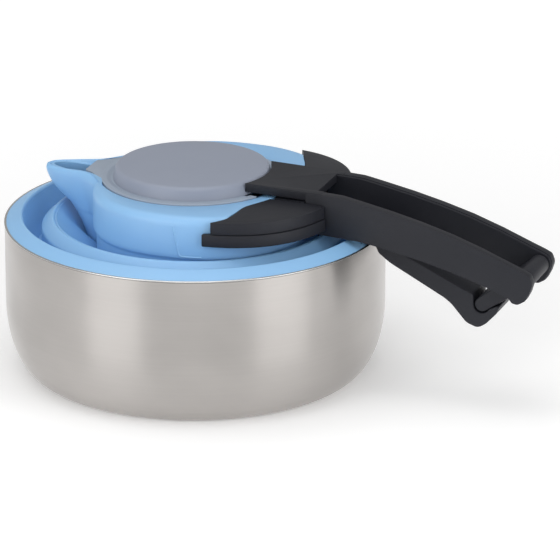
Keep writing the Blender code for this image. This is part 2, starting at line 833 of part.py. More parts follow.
def makeHandle():
    inner = plateOuter - plateThick
    near = prismAcross("handle_frame", plateOutline(), -plateOuter, -inner)
    handle = addPiece("handle_frame", near, hardBlack, handleFrame)
    join(handle, addTool("far_plate", prismAcross("far_plate", plateOutline(), inner, plateOuter)))

    plan = [
        (31.0 * mm, tongueHalfWidth),
        (hingeX + 2.0 * mm, tongueHalfWidth),
        (hingeX + 2.0 * mm, inner + 0.01 * mm),
        (hingeX - 1.0 * mm, inner + 0.01 * mm),
    ]
    deck = addTool("deck", prismUp("deck", bothSides(plan), tongueBottom, tongueTop))
    nest = upright("cap_nest", lidCapRadius + tongueClear, 80 * mm, 120 * mm, lidOffset, steps=128)
    join(handle, deck)
    cut(handle, addTool("cap_nest", nest))

    reach = plateOuter + 1 * mm
    bore = barrel("plate_bore", hingePinRadius + gap, -reach, reach, hingeX, hingeZ)
    cut(handle, addTool("plate_bore", bore))
    blind = smallPinReach + gap
    for name, x, z in (("arm_bore", armPivotX, armPivotZ), ("link_bore", linkPivotX, linkPivotZ)):
        cut(handle, addTool(name, barrel(name, smallPinRadius + gap, -blind, blind, x, z)))

    pin = barrel("hinge_pin", hingePinRadius, -hingePinReach, hingePinReach, hingeX, hingeZ)
    addPiece("hinge_pin", pin, rimSteel, neckFrame)
    armPin = barrel("arm_pin", smallPinRadius, -smallPinReach, smallPinReach, armPivotX, armPivotZ)
    addPiece("arm_pin", armPin, rimSteel, handleFrame)
    endPin = barrel("end_pin", smallPinRadius, -smallPinReach, smallPinReach, linkPivotX, linkPivotZ)
    addPiece("end_pin", endPin, rimSteel, handleFrame)

    padHalf = 9.0 * mm
    padTop = tongueBottom + 1.3 * mm
    pocketLow = (48.7 * mm, -padHalf - gap, tongueBottom - 1 * mm)
    pocketHigh = (59.3 * mm, padHalf + gap, padTop)
    cut(handle, addTool("pad_pocket", block("pad_pocket", pocketLow, pocketHigh)))
    padLow = (49.0 * mm, -padHalf, collarCrown + 0.1 * mm)
    pad = block("stop_pad", padLow, (59.0 * mm, padHalf, padTop - 0.05 * mm))
    addPiece("stop_pad", pad, padRubber, handleFrame)


def makeLink():
    """A barrel on the end pin with a finger that ends in a round tip."""
    outline = hull2(linkPivotX, linkPivotZ, linkBarrelRadius, fingerX, fingerZ, fingerRadius)
    mesh = prismAcross("latch_link", outline, -linkHalfWidth, linkHalfWidth)
    link = addPiece("latch_link", mesh, hardBlack, linkFrame)
    inner = plateOuter - plateThick - gap
    join(link, addTool("link_barrel", barrel("link_barrel", linkBarrelRadius, -inner, inner, linkPivotX, linkPivotZ, 32)))
    through = inner + 1 * mm
    bore = barrel("link_way", smallPinRadius + gap, -through, through, linkPivotX, linkPivotZ)
    cut(link, addTool("link_way", bore))


def hull2(x1, z1, r1, x2, z2, r2):
    """Outline round two circles, as a tapered bar with round ends."""
    span = math.hypot(x2 - x1, z2 - z1)
    along = math.degrees(math.atan2(z2 - z1, x2 - x1))
    lean = math.degrees(math.acos((r1 - r2) / span))
    first = arcPoints(x1, z1, r1, along + lean, along + 360.0 - lean, 16)
    second = arcPoints(x2, z2, r2, along - lean, along + lean, 12)
    return first + second


def armOutline():
    """Side view of the lower arm: underside, hook and top, with the pocket for the finger."""
    under = [(11.0, -5.7), (24.6, -7.3), (28.0, -14.3), (33.7, -18.5), (48.7, -26.3), (61.1, -32.8)]
    throat = [(63.6, -34.8), (67.1, -38.3), (71.1, -43.1), (73.6, -44.5), (76.6, -45.3)]
    hook = [(78.5, -45.1), (80.5, -43.8), (85.8, -38.2), (87.5, -35.3), (87.8, -34.3)]
    lip = [(87.2, -33.6), (86.4, -33.9)]
    seat = arcPoints(fingerX, fingerZ, fingerRadius + pocketClear, -25.0, -180.0, 10)
    over = [(74.9, -29.1), (70.9, -27.7), (63.5, -24.2), (48.6, -17.1), (38.0, -12.7), (30.0, -8.1), (18.0, -1.7)]
    hub = arcPoints(armPivotX, armPivotZ, 4.2 * mm, 60.0, 245.0, 10)
    return fromHinge(under + throat + hook + lip) + seat + fromHinge(over) + hub


def makeArm():
    mesh = prismAcross("lower_arm", armOutline(), -armHalfWidth, armHalfWidth)
    arm = addPiece("lower_arm", mesh, hardBlack, armFrame)
    through = armHalfWidth + 1 * mm
    bore = barrel("arm_way", smallPinRadius + gap, -through, through, armPivotX, armPivotZ)
    cut(arm, addTool("arm_way", bore))
    low = armHalfWidth + gap
    high = plateOuter - plateThick - gap
    for index, side in enumerate((-1, 1)):
        name = "arm_washer_%d" % (index + 1)
        near, far = sorted((side * low, side * high))
        mesh = barrel(name, 4.0 * mm, near, far, armPivotX, armPivotZ)
        washer = addPiece(name, mesh, rimSteel, handleFrame)
        way = barrel("washer_way_%d" % (index + 1), smallPinRadius + gap, near - 1 * mm, far + 1 * mm, armPivotX, armPivotZ)
        cut(washer, addTool("washer_way_%d" % (index + 1), way))


clearScene()
partCollection = makeCollection("kettle")
toolCollection = makeCollection("cutters")

steel = makeMaterial("pan_steel", (0.55, 0.54, 0.53), 0.28, 1.0)
rimSteel = makeMaterial("trim_steel", (0.5, 0.5, 0.5), 0.25, 1.0)
silicone = makeMaterial("blue_silicone", (0.27, 0.5, 0.8), 0.5)
lidGrey = makeMaterial("light_grey_plastic", (0.3, 0.3, 0.32), 0.45)
capGrey = makeMaterial("grey_plastic", (0.27, 0.29, 0.34), 0.45)
sealGrey = makeMaterial("seal_silicone", (0.6, 0.6, 0.6), 0.6)
hardBlack = makeMaterial("black_plastic", (0.035, 0.037, 0.042), 0.4)
padRubber = makeMaterial("pad_rubber", (0.02, 0.02, 0.02), 0.7)

panFrame = makeFrame("pan_frame")
ringFrame = makeFrame("ring_frame", parent=panFrame)
neckFrame = makeFrame("neck_frame", parent=panFrame)
lidFrame = makeFrame("lid_frame", z=neckTop, parent=neckFrame)
handleFrame = makeFrame("handle_frame_axis", x=hingeX, z=hingeZ, parent=neckFrame)
armFrame = makeFrame("arm_axis", x=armPivotX, z=armPivotZ, parent=handleFrame)
linkFrame = makeFrame("link_axis", x=linkPivotX, z=linkPivotZ, parent=handleFrame)

makePan()
makeFlange()
makeFolds()
makeMiddleRing()
makeNeck()
makeSeatPlate()
makeLid()
makeCollar()
makeHandle()
makeLink()
makeArm()
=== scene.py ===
import math

import bpy
import bmesh
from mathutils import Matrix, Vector


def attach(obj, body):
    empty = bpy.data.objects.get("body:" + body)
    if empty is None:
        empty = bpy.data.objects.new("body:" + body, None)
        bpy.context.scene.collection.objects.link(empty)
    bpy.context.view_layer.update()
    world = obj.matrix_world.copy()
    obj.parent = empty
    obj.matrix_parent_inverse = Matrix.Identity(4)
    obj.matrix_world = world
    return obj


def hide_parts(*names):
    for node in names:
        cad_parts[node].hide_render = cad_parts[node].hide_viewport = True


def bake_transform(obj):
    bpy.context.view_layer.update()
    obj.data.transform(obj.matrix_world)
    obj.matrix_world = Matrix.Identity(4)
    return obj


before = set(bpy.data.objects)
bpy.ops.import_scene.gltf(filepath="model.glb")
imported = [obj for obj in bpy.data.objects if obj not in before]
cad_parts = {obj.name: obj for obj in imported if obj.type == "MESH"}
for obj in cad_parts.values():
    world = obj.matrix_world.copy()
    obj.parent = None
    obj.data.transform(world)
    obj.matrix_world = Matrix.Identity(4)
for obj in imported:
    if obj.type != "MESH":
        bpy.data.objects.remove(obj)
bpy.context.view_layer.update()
mm = 0.001
print("frame loaded:", len(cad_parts), "nodes")


# Small helpers

def dropSelection():
    if bpy.context.object and bpy.context.object.mode == "EDIT":
        bpy.ops.object.mode_set(mode="OBJECT")
    bpy.ops.object.select_all(action="DESELECT")


def pick(piece):
    dropSelection()
    piece.select_set(True)
    bpy.context.view_layer.objects.active = piece


def nameNew(name):
    piece = bpy.context.object
    piece.name = name
    piece.data.name = name
    return piece


def startFromPoint(name, place):
    # one loose vertex at a place, ready to extrude
    dropSelection()
    bpy.ops.mesh.primitive_plane_add(size=0.001, location=(0, 0, 0))
    piece = nameNew(name)
    bpy.ops.object.mode_set(mode="EDIT")
    bpy.ops.mesh.select_all(action="SELECT")
    bpy.ops.mesh.merge(type="CENTER")
    bpy.ops.transform.translate(value=place)
    return piece


def drawWire(name, points, closed):
    points = [Vector(p) for p in points]
    piece = startFromPoint(name, points[0])
    for a, b in zip(points, points[1:]):
        bpy.ops.mesh.extrude_region_move(TRANSFORM_OT_translate={"value": b - a})
    if closed:
        mesh = bmesh.from_edit_mesh(piece.data)
        mesh.verts.ensure_lookup_table()
        for vert in mesh.verts:
            vert.select_set(False)
        mesh.verts[0].select_set(True)
        mesh.verts[len(points) - 1].select_set(True)
        mesh.select_flush_mode()
        bmesh.update_edit_mesh(piece.data)
        bpy.ops.mesh.edge_face_add()
    bpy.ops.mesh.select_all(action="SELECT")
    return piece


def rounded(corners, closed=True):
    # corners are (x, z) or (x, z, radius): each radius becomes an arc
    out = []
    count = len(corners)
    for i, corner in enumerate(corners):
        here = Vector(corner[:2])
        radius = corner[2] if len(corner) > 2 else 0.0
        if radius <= 0 or (not closed and i in (0, count - 1)):
            out.append((here.x, here.y))
            continue
        before = Vector(corners[i - 1][:2]) - here
        after = Vector(corners[(i + 1) % count][:2]) - here
        lengthA, lengthB = before.length, after.length
        u, v = before / lengthA, after / lengthB
        angle = u.angle(v)
        if angle > math.radians(176):
            out.append((here.x, here.y))
            continue
        reach = min(radius / math.tan(angle / 2), 0.48 * lengthA, 0.48 * lengthB)
        radius = reach * math.tan(angle / 2)
        bisector = (u + v).normalized()
        centre = here + bisector * (radius / math.sin(angle / 2))
        first = here + u * reach - centre
        last = here + v * reach - centre
        sweep = first.angle_signed(last)
        steps = max(2, int(abs(math.degrees(sweep)) / 11))
        start = math.atan2(first.y, first.x)
        for s in range(steps + 1):
            a = start - sweep * s / steps
            out.append((centre.x + radius * math.cos(a), centre.y + radius * math.sin(a)))
    return out


def fixFaces(piece, doubles=0.000004):
    pick(piece)
    bpy.ops.object.mode_set(mode="EDIT")
    bpy.ops.mesh.select_all(action="SELECT")
    bpy.ops.mesh.remove_doubles(threshold=doubles)
    bpy.ops.mesh.normals_make_consistent(inside=False)
    bpy.ops.object.mode_set(mode="OBJECT")


def spinRing(name, corners, centreX, steps, closed=True):
    # a section in the XZ plane turned about an upright axis
    section = rounded(corners, closed)
    piece = drawWire(name, [(x + centreX, 0, z) for x, z in section], closed)
    bpy.ops.mesh.spin(steps=steps, angle=2 * math.pi, center=(centreX, 0, 0), axis=(0, 0, 1))
    bpy.ops.object.mode_set(mode="OBJECT")
    fixFaces(piece)
    return piece


def bevelEdges(piece, width, segments, angle):
    pick(piece)
    step = piece.modifiers.new("soft edges", "BEVEL")
    step.width = width
    step.segments = segments
    step.limit_method = "ANGLE"
    step.angle_limit = math.radians(angle)
    step.harden_normals = False
    step.miter_outer = "MITER_ARC"
    bpy.ops.object.modifier_apply(modifier=step.name)


def smooth(piece, angle):
    pick(piece)
    bpy.ops.object.shade_smooth_by_angle(angle=math.radians(angle))


def pullOut(name, points, step):
    # a closed outline filled and carried along by step
    piece = drawWire(name, points, True)
    bpy.ops.mesh.edge_face_add()
    bpy.ops.mesh.extrude_region_move(TRANSFORM_OT_translate={"value": step})
    bpy.ops.object.mode_set(mode="OBJECT")
    fixFaces(piece)
    return piece


def raiseUp(name, outline, low, high):
    # a plan outline (x, y) made into a solid
    return pullOut(name, [(x, y, low) for x, y in outline], (0, 0, high - low))


def pushAcross(name, outline, near, far):
    # a side outline (x, z) carried from near to far in Y
    return pullOut(name, [(x, near, z) for x, z in outline], (0, far - near, 0))


def cylinderAcross(name, radius, near, far, x, z, sides=64):
    dropSelection()
    bpy.ops.mesh.primitive_cylinder_add(
        vertices=sides, radius=radius, depth=far - near,
        location=(x, (near + far) / 2, z), rotation=(math.pi / 2, 0, 0),
    )
    piece = nameNew(name)
    bpy.ops.object.transform_apply(location=True, rotation=True, scale=True)
    return piece


def combine(piece, tool, operation):
    pick(piece)
    step = piece.modifiers.new("combine", "BOOLEAN")
    step.operation = operation
    step.solver = "EXACT"
    step.object = tool
    bpy.ops.object.modifier_apply(modifier=step.name)
    bpy.data.objects.remove(tool, do_unlink=True)


def joinUp(first, others):
    pick(first)
    for other in others:
        other.select_set(True)
    bpy.ops.object.join()
    return first


def finishPiece(piece, material, body, nodes, angle):
    pick(piece)
    bpy.ops.object.transform_apply(location=True, rotation=True, scale=True)
    piece.data.materials.clear()
    piece.data.materials.append(material)
    smooth(piece, angle)
    if body:
        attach(piece, body)
    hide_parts(*nodes)


def coverNodes(material, *names):
    # CAD nodes that stay, with a better material
    for name in names:
        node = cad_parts[name]
        node.data.materials.clear()
        node.data.materials.append(material)


def arc(x, z, radius, start, end, steps):
    angles = [math.radians(start + (end - start) * i / steps) for i in range(steps + 1)]
    return [(x + radius * math.cos(a), z + radius * math.sin(a)) for a in angles]


# Materials

def newMaterial(name):
    material = bpy.data.materials.new(name)
    material.use_nodes = True
    tree = material.node_tree
    shader = tree.nodes["Principled BSDF"]
    place = tree.nodes.new("ShaderNodeTexCoord")
    return material, tree, shader, place


def addNoise(tree, place, scale, stretch=(1, 1, 1), detail=3.0, roughness=0.5):
    mapping = tree.nodes.new("ShaderNodeMapping")
    mapping.inputs["Scale"].default_value = stretch
    tree.links.new(place.outputs["Object"], mapping.inputs["Vector"])
    noise = tree.nodes.new("ShaderNodeTexNoise")
    noise.inputs["Scale"].default_value = scale
    noise.inputs["Detail"].default_value = detail
    noise.inputs["Roughness"].default_value = roughness
    tree.links.new(mapping.outputs["Vector"], noise.inputs["Vector"])
    return noise


def addRange(tree, source, low, high, fromLow=0.3, fromHigh=0.7):
    node = tree.nodes.new("ShaderNodeMapRange")
    node.inputs["From Min"].default_value = fromLow
    node.inputs["From Max"].default_value = fromHigh
    node.inputs["To Min"].default_value = low
    node.inputs["To Max"].default_value = high
    tree.links.new(source, node.inputs["Value"])
    return node.outputs["Result"]


def addColours(tree, factor, first, second):
    node = tree.nodes.new("ShaderNodeMix")
    node.data_type = "RGBA"
    node.inputs["A"].default_value = (*first, 1)
    node.inputs["B"].default_value = (*second, 1)
    tree.links.new(factor, node.inputs["Factor"])
    return node.outputs["Result"]


def addBump(tree, height, strength, distance, before=None):
    node = tree.nodes.new("ShaderNodeBump")
    node.inputs["Strength"].default_value = strength
    node.inputs["Distance"].default_value = distance
    tree.links.new(height, node.inputs["Height"])
    if before:
        tree.links.new(before, node.inputs["Normal"])
    return node.outputs["Normal"]


def linkSurface(tree, shader, factor, pale, deep, roughness):
    # colour and roughness that follow the same noise
    tree.links.new(addColours(tree, factor, pale, deep), shader.inputs["Base Color"])
    tree.links.new(addRange(tree, factor, *roughness), shader.inputs["Roughness"])


steelLook = {
    "pale": (0.435, 0.414, 0.398),
    "deep": (0.375, 0.357, 0.343),
    "cloudShare": 0.55,
    "lineShare": 0.45,
    "roughness": (0.30, 0.36),
    "brushed": 0.88,
    "brushTurn": 0.25,
    "grain": 0.03,
}


def makeSteel():
    # drawn steel: its fine lines run round the pan, so highlights stretch upright
    material, tree, shader, place = newMaterial("pan_steel")
    look = steelLook
    cloudy = addNoise(tree, place, 14, (1, 1, 1.6), 3.0, 0.5)
    lines = addNoise(tree, place, 60, (0.03, 0.03, 16), 3.0, 0.6)
    fine = addNoise(tree, place, 260, (0.02, 0.02, 14), 2.0, 0.7)
    clouds = addRange(tree, cloudy.outputs["Fac"], 0.0, look["cloudShare"], 0.35, 0.65)
    blend = tree.nodes.new("ShaderNodeMath")
    blend.operation = "MULTIPLY_ADD"
    blend.inputs[1].default_value = look["lineShare"]
    tree.links.new(lines.outputs["Fac"], blend.inputs[0])
    tree.links.new(clouds, blend.inputs[2])
    colour = addColours(tree, blend.outputs[0], look["pale"], look["deep"])
    tree.links.new(colour, shader.inputs["Base Color"])
    rough = addRange(tree, cloudy.outputs["Fac"], *look["roughness"])
    tree.links.new(rough, shader.inputs["Roughness"])
    brushing = tree.nodes.new("ShaderNodeTangent")
    brushing.direction_type = "RADIAL"
    brushing.axis = "Z"
    tree.links.new(brushing.outputs["Tangent"], shader.inputs["Tangent"])
    shader.inputs["Anisotropic"].default_value = look["brushed"]
    shader.inputs["Anisotropic Rotation"].default_value = look["brushTurn"]
    grain = addBump(tree, fine.outputs["Fac"], look["grain"], 0.0004)
    grain = addBump(tree, lines.outputs["Fac"], look["grain"] * 0.8, 0.001, grain)
    tree.links.new(grain, shader.inputs["Normal"])
    shader.inputs["Metallic"].default_value = 1.0
    return material


trimLook = {
    "pale": (0.62, 0.62, 0.62),
    "deep": (0.54, 0.54, 0.53),
    "roughness": (0.16, 0.26),
}


def makeTrim():
    material, tree, shader, place = newMaterial("trim_steel")
    look = trimLook
    fine = addNoise(tree, place, 300, (1, 1, 3), 2.0)
    linkSurface(tree, shader, fine.outputs["Fac"], look["pale"], look["deep"], look["roughness"])
    shader.inputs["Metallic"].default_value = 1.0
    return material


siliconeLook = {
    "pale": (0.262, 0.508, 0.800),
    "deep": (0.243, 0.486, 0.782),
    "roughness": (0.40, 0.48),
    "skin": 0.05,
    "specular": 0.7,
    "glow": 0.06,
    "glowRadius": (0.5, 0.8, 1.0),
    "glowScale": 0.003,
}


def makeSilicone():
    material, tree, shader, place = newMaterial("blue_silicone")
    look = siliconeLook
    broad = addNoise(tree, place, 30, (1, 1, 1), 3.0)
    skin = addNoise(tree, place, 900, (1, 1, 1), 2.0)
    linkSurface(tree, shader, broad.outputs["Fac"], look["pale"], look["deep"], look["roughness"])
    bumps = addBump(tree, skin.outputs["Fac"], look["skin"], 0.0003)
    tree.links.new(bumps, shader.inputs["Normal"])
    shader.inputs["Subsurface Weight"].default_value = look["glow"]
    shader.inputs["Subsurface Radius"].default_value = look["glowRadius"]
    shader.inputs["Subsurface Scale"].default_value = look["glowScale"]
    shader.inputs["Specular IOR Level"].default_value = look["specular"]
    return material


plasticLooks = {
    "black_plastic": {
        "pale": (0.016, 0.017, 0.023), "deep": (0.013, 0.014, 0.019), "roughness": (0.46, 0.56),
        "skin": 0.22, "skinScale": 1500, "specular": 0.28,
    },
    "grey_plastic": {
        "pale": (0.278, 0.308, 0.382), "deep": (0.264, 0.294, 0.368), "roughness": (0.42, 0.5),
        "skin": 0.10, "skinScale": 1400, "specular": 0.5,
    },
    "light_grey_plastic": {
        "pale": (0.315, 0.372, 0.452), "deep": (0.300, 0.354, 0.436), "roughness": (0.42, 0.5),
        "skin": 0.06, "skinScale": 1400, "specular": 0.35,
    },
    "seal_silicone": {
        "pale": (0.62, 0.63, 0.65), "deep": (0.58, 0.59, 0.61), "roughness": (0.5, 0.6),
        "skin": 0.05, "skinScale": 1400, "specular": 0.5,
    },
    "pad_rubber": {
        "pale": (0.02, 0.02, 0.022), "deep": (0.016, 0.016, 0.018), "roughness": (0.6, 0.72),
        "skin": 0.2, "skinScale": 1400, "specular": 0.5,
    },
}


def makePlastic(name):
    material, tree, shader, place = newMaterial(name)
    look = plasticLooks[name]
    broad = addNoise(tree, place, 26, (1, 1, 1), 4.0)
    skin = addNoise(tree, place, look["skinScale"], (1, 1, 1), 2.0, 0.6)
    linkSurface(tree, shader, broad.outputs["Fac"], look["pale"], look["deep"], look["roughness"])
    bumps = addBump(tree, skin.outputs["Fac"], look["skin"], 0.0003)
    tree.links.new(bumps, shader.inputs["Normal"])
    shader.inputs["Specular IOR Level"].default_value = look["specular"]
    return material


panSteel = makeSteel()
trimSteel = makeTrim()
blueSilicone = makeSilicone()
blackPlastic = makePlastic("black_plastic")
capGrey = makePlastic("grey_plastic")
lidGrey = makePlastic("light_grey_plastic")
sealWhite = makePlastic("seal_silicone")
padRubber = makePlastic("pad_rubber")
print("materials ready")


# Pan

pan = {
    "radius": 91.0 * mm,
    "rim": 73.3 * mm,
    "wall": 0.9 * mm,
    "cornerWide": 16.5 * mm,
    "cornerTall": 35.6 * mm,
    "bead": 0.65 * mm,
}


def panSide(inset, steps):
    points = []
    for i in range(steps + 1):
        a = math.pi / 2 * i / steps
        x = pan["radius"] - pan["cornerWide"] + (pan["cornerWide"] - inset) * math.cos(a)
        z = pan["cornerTall"] - (pan["cornerTall"] - inset) * math.sin(a)
        points.append((x, z))
    return points


def buildPan():
    wall = pan["wall"]
    outside = [(0.0, 0.0)] + panSide(0.0, 28)[::-1]
    outside += [(pan["radius"], z * mm) for z in (44, 52, 60, 66, 70, 72)]
    inside = [(pan["radius"] - wall, z * mm) for z in (72, 66, 52)]
    inside += panSide(wall, 20) + [(0.0, wall)]
    lip = [(pan["radius"], pan["rim"]), (pan["radius"] - wall, pan["rim"])]
    section = outside + lip + inside
    body = spinRing("panBody", section, 0.0, 192, closed=False)
    finishPiece(body, panSteel, "pan", ["pan_body"], 40)

    # rolled steel edge that closes the wall's top
    bead = pan["bead"]
    low = pan["rim"] + 0.05 * mm
    outer = pan["radius"] + 0.28 * mm
    edge = [
        (outer - 0.45 * mm, low),
        (outer, low + 0.28 * mm, 0.25 * mm),
        (outer - 0.05 * mm, low + bead, 0.3 * mm),
        (outer - 0.6 * mm, low + bead + 0.25 * mm, 0.3 * mm),
        (outer - 1.35 * mm, low + bead, 0.2 * mm),
        (outer - 1.35 * mm, low),
    ]
    roll = spinRing("rimRoll", edge, 0.0, 192)
    finishPiece(roll, trimSteel, "pan", ["rim_trim"], 50)


buildPan()
coverNodes(trimSteel, "clamp_band")
print("pan built")


# Silicone bands and the walls between them

bands = {
    "flangeOuter": 89.7 * mm,
    "turns": 160,
    # the middle band's section from its ridge down the outside and up the inside, in mm
    "ring": [
        (67.9, 76.5, 1.6), (73.5, 71.3, 2.2), (73.3, 62.8, 3.0), (77.9, 58.7, 0.8), (74.8, 58.5, 0.8),
        (70.7, 61.8, 2.0), (70.6, 68.2, 2.0), (67.0, 71.8, 1.2), (66.2, 74.6, 1.2),
    ],
    "webThick": 1.2 * mm,
    "webSteps": 14,
    "outerWebTop": (82.6 * mm, 75.4 * mm),
    "outerWebFoot": (77.4 * mm, 59.4 * mm),
    "outerWebBow": 0.5 * mm,
    "innerWebRadius": 66.9 * mm,
    "innerWebCentre": 3.0 * mm,
    "innerWebHigh": 75.2 * mm,
    "innerWebLow": 59.3 * mm,
    "innerWebInset": 0.75 * mm,
    "innerWebTip": -54.9 * mm,
    "innerWebFlare": 0.4 * mm,
}


def buildFlange():
    outer = bands["flangeOuter"]
    section = [
        (83.0 * mm, 77.6 * mm, 1.2 * mm),
        (90.5 * mm, 73.95 * mm, 0.35 * mm),
        (89.75 * mm, 73.2 * mm, 0.4 * mm),
        (outer - 0.1 * mm, 64.2 * mm, 0.8 * mm),
        (outer - 2.6 * mm, 64.2 * mm, 0.8 * mm),
        (outer - 2.8 * mm, 71.4 * mm, 1.5 * mm),
        (84.2 * mm, 73.6 * mm, 1.0 * mm),
        (81.9 * mm, 73.9 * mm, 0.6 * mm),
        (82.3 * mm, 76.6 * mm, 0.8 * mm),
    ]
    band = spinRing("flangeBand", section, 0.0, bands["turns"])
    finishPiece(band, blueSilicone, "pan", ["flange_ring"], 60)


def buildRing():
    section = [tuple(value * mm for value in row) for row in bands["ring"]]
    ring = spinRing("middleBand", section, 0.0, bands["turns"])
    finishPiece(ring, blueSilicone, "ring", ["middle_ring"], 60)


def webSection(top, bottom, thick, steps, sag):
    # a thin sloping wall, bowed a little, as outer points down and inner points up
    (x1, z1), (x2, z2) = top, bottom
    across = Vector((z1 - z2, x2 - x1)).normalized() * thick / 2
    outer, inner = [], []
    for i in range(steps + 1):
        t = i / steps
        bow = sag * math.sin(math.pi * t)
        x = x1 + (x2 - x1) * t + bow
        z = z1 + (z2 - z1) * t
        outer.append((x + across.x, z + across.y))
        inner.append((x - across.x, z - across.y))
    return outer + inner[::-1]


def buildOuterWeb():
    b = bands
    top, foot = b["outerWebTop"], b["outerWebFoot"]
    section = webSection(top, foot, b["webThick"], b["webSteps"], b["outerWebBow"])
    web = spinRing("outerFold", section, 0.0, b["turns"])
    finishPiece(web, blueSilicone, None, ["fold_outer"], 60)
    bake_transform(web)


buildFlange()
buildRing()
buildOuterWeb()
print("bands built")


# Top shell with the beak

shell = {
    "centre": 7.5 * mm,
    "halfLength": 52.9 * mm,
    "halfWidth": 59.8 * mm,
    "power": 2.3,
    "shoulder": 91.0 * mm,
    "round": 4.1 * mm,
    "roundSteps": 9,
    "roundPull": 0.42,
    "roundNarrow": 0.62,
    "lip": 74.7 * mm,
    "beakHalf": 21.4 * mm,
    "beakWall": 2.2 * mm,
    "bodySteps": 132,
    "beakSteps": 40,
    # share of the beak's length and of its half width, from the root to the tip
    "beakFlare": [
        (0.0, 1.0), (0.066, 0.893), (0.2, 0.69), (0.335, 0.551), (0.49, 0.475),
        (0.644, 0.411), (0.82, 0.31), (0.949, 0.187), (1.0, 0.0),
    ],
    # height and how far the beak's tip stands out at it, in mm
    "keel": [
        (59, 54.2), (63, 55.4), (68, 57.8), (73.5, 61.0), (77.2, 63.8),
        (80.0, 67.6), (83.9, 72.2), (88, 75.0), (91, 76.2), (93.4, 76.7),
    ],
    "lipDrop": 1.1 * mm,
    "lipLow": 90.0 * mm,
    "lipSpan": 5.0 * mm,
    "lipRun": (44.0 * mm, 28.0 * mm),
    "seatCentre": -1.2 * mm,
    "seatRadius": 44.0 * mm,
    "holeRadius": 37.9 * mm,
    "coverFloor": 92.5 * mm,
    "coverCut": 99.0 * mm,
    # the channel's side from the seat to the tip, in mm
    "channel": [
        (-40.6, 21.4), (-44.4, 16.4), (-48.9, 11.6), (-53.8, 8.6),
        (-59.0, 7.5), (-65.0, 6.3), (-70.5, 4.4), (-73.2, 2.2),
    ],
    "channelRoot": 23.6 * mm,
    "channelTip": -74.2 * mm,
    "channelTipFloor": 93.7,
    "channelRun": (50.0 * mm, 22.0 * mm),
}
# the shell's top has a rebate that follows the collar, so the collar's sizes come here too
collar = {
    "centre": 20.0 * mm,
    "halfLength": 54.4 * mm,
    "halfWidth": 60.2 * mm,
    "low": 82.3 * mm,
    "step": 88.2 * mm,
    "upperInset": 0.7 * mm,
    "upperLow": 92.9 * mm,
    "upperDrop": 4.0 * mm,
    "underside": 93.0 * mm,
    # distance in from the rim, as a share of crownReach, and the height there, in mm
    "crown": [(0.7, 94.1), (4, 94.5), (10, 94.95), (20, 95.3)],
    "crownReach": 57,
    "tip": 25.9 * mm,
    "slotX": 62.0 * mm,
    "slotY": 18.9 * mm,
    "bridgeX": 47.1 * mm,
    "bridgeHalf": (18.2 * mm, 19.2 * mm),
    "bridgeTop": 95.2 * mm,
    # front edge of the upper layer, which starts further back on the far side
    "frontRoot": [(47.0, 0.0), (47.0, 9.0), (46.0, 18.0)],
    "frontNear": [
        (42.4, 26.2), (40.0, 30.7), (37.9, 36.0), (37.0, 45.0), (35.5, 52.0), (33.0, 55.6), (30.0, 58.6),
    ],
    "frontFar": [
        (45.4, 26.2), (44.4, 30.7), (43.0, 36.0), (39.0, 45.0), (36.8, 51.0), (35.0, 55.2), (33.3, 58.2),
    ],
    "frontGap": 0.35 * mm,
    "fit": 0.3 * mm,
    "edge": 0.45 * mm,
}


def between(value, rows):
    # a value read off the straight lines that join the rows
    if value <= rows[0][0]:
        return rows[0][1]
    for (a, sizeA), (b, sizeB) in zip(rows, rows[1:]):
        if value <= b:
            return sizeA + (sizeB - sizeA) * (value - a) / (b - a)
    return rows[-1][1]


def ovalPoint(centre, halfLength, halfWidth, angle):
    power = shell["power"]
    c, s = math.cos(angle), math.sin(angle)
    scale = (abs(c) ** power + abs(s) ** power) ** (-1 / power)
    return (centre + halfLength * c * scale, halfWidth * s * scale)


def ovalArc(centre, halfLength, halfWidth, start, end, steps):
    angles = [start + (end - start) * i / steps for i in range(steps + 1)]
    return [ovalPoint(centre, halfLength, halfWidth, angle) for angle in angles]


def angleAtX(centre, halfLength, x):
    power = shell["power"]
    along = (x - centre) / halfLength
    return math.atan2((1 - abs(along) ** power) ** (1 / power), along)


def angleAtY(halfWidth, y):
    power = shell["power"]
    across = y / halfWidth
    return math.atan2(across, (1 - abs(across) ** power) ** (1 / power))


def throughPoints(points, count):
    # a smooth run through the points, sampled at even steps of its length
    fine = 8
    dense = []
    for i in range(len(points) - 1):
        p0 = Vector(points[max(i - 1, 0)])
        p1, p2 = Vector(points[i]), Vector(points[i + 1])
        p3 = Vector(points[min(i + 2, len(points) - 1)])
        for k in range(fine):
            t = k / fine
            square = (2 * p0 - 5 * p1 + 4 * p2 - p3) * t ** 2
            cube = (3 * p1 - p0 - 3 * p2 + p3) * t ** 3
            dense.append(0.5 * (2 * p1 + (p2 - p0) * t + square + cube))
    dense.append(Vector(points[-1]))
    lengths = [0.0]
    for a, b in zip(dense, dense[1:]):
        lengths.append(lengths[-1] + (b - a).length)
    out = []
    k = 0
    for i in range(count + 1):
        distance = lengths[-1] * i / count
        while k < len(dense) - 2 and lengths[k + 1] < distance:
            k += 1
        t = (distance - lengths[k]) / max(lengths[k + 1] - lengths[k], 1e-9)
        here = dense[k] + (dense[k + 1] - dense[k]) * t
        out.append((here.x, here.y))
    return out


def withBeak(body, side):
    # an open body run, then the far side of the beak to its tip and the near side back
    far = throughPoints(side, shell["beakSteps"] // 2)
    return body + far[1:] + [(x, -y) for x, y in far[-2:0:-1]]


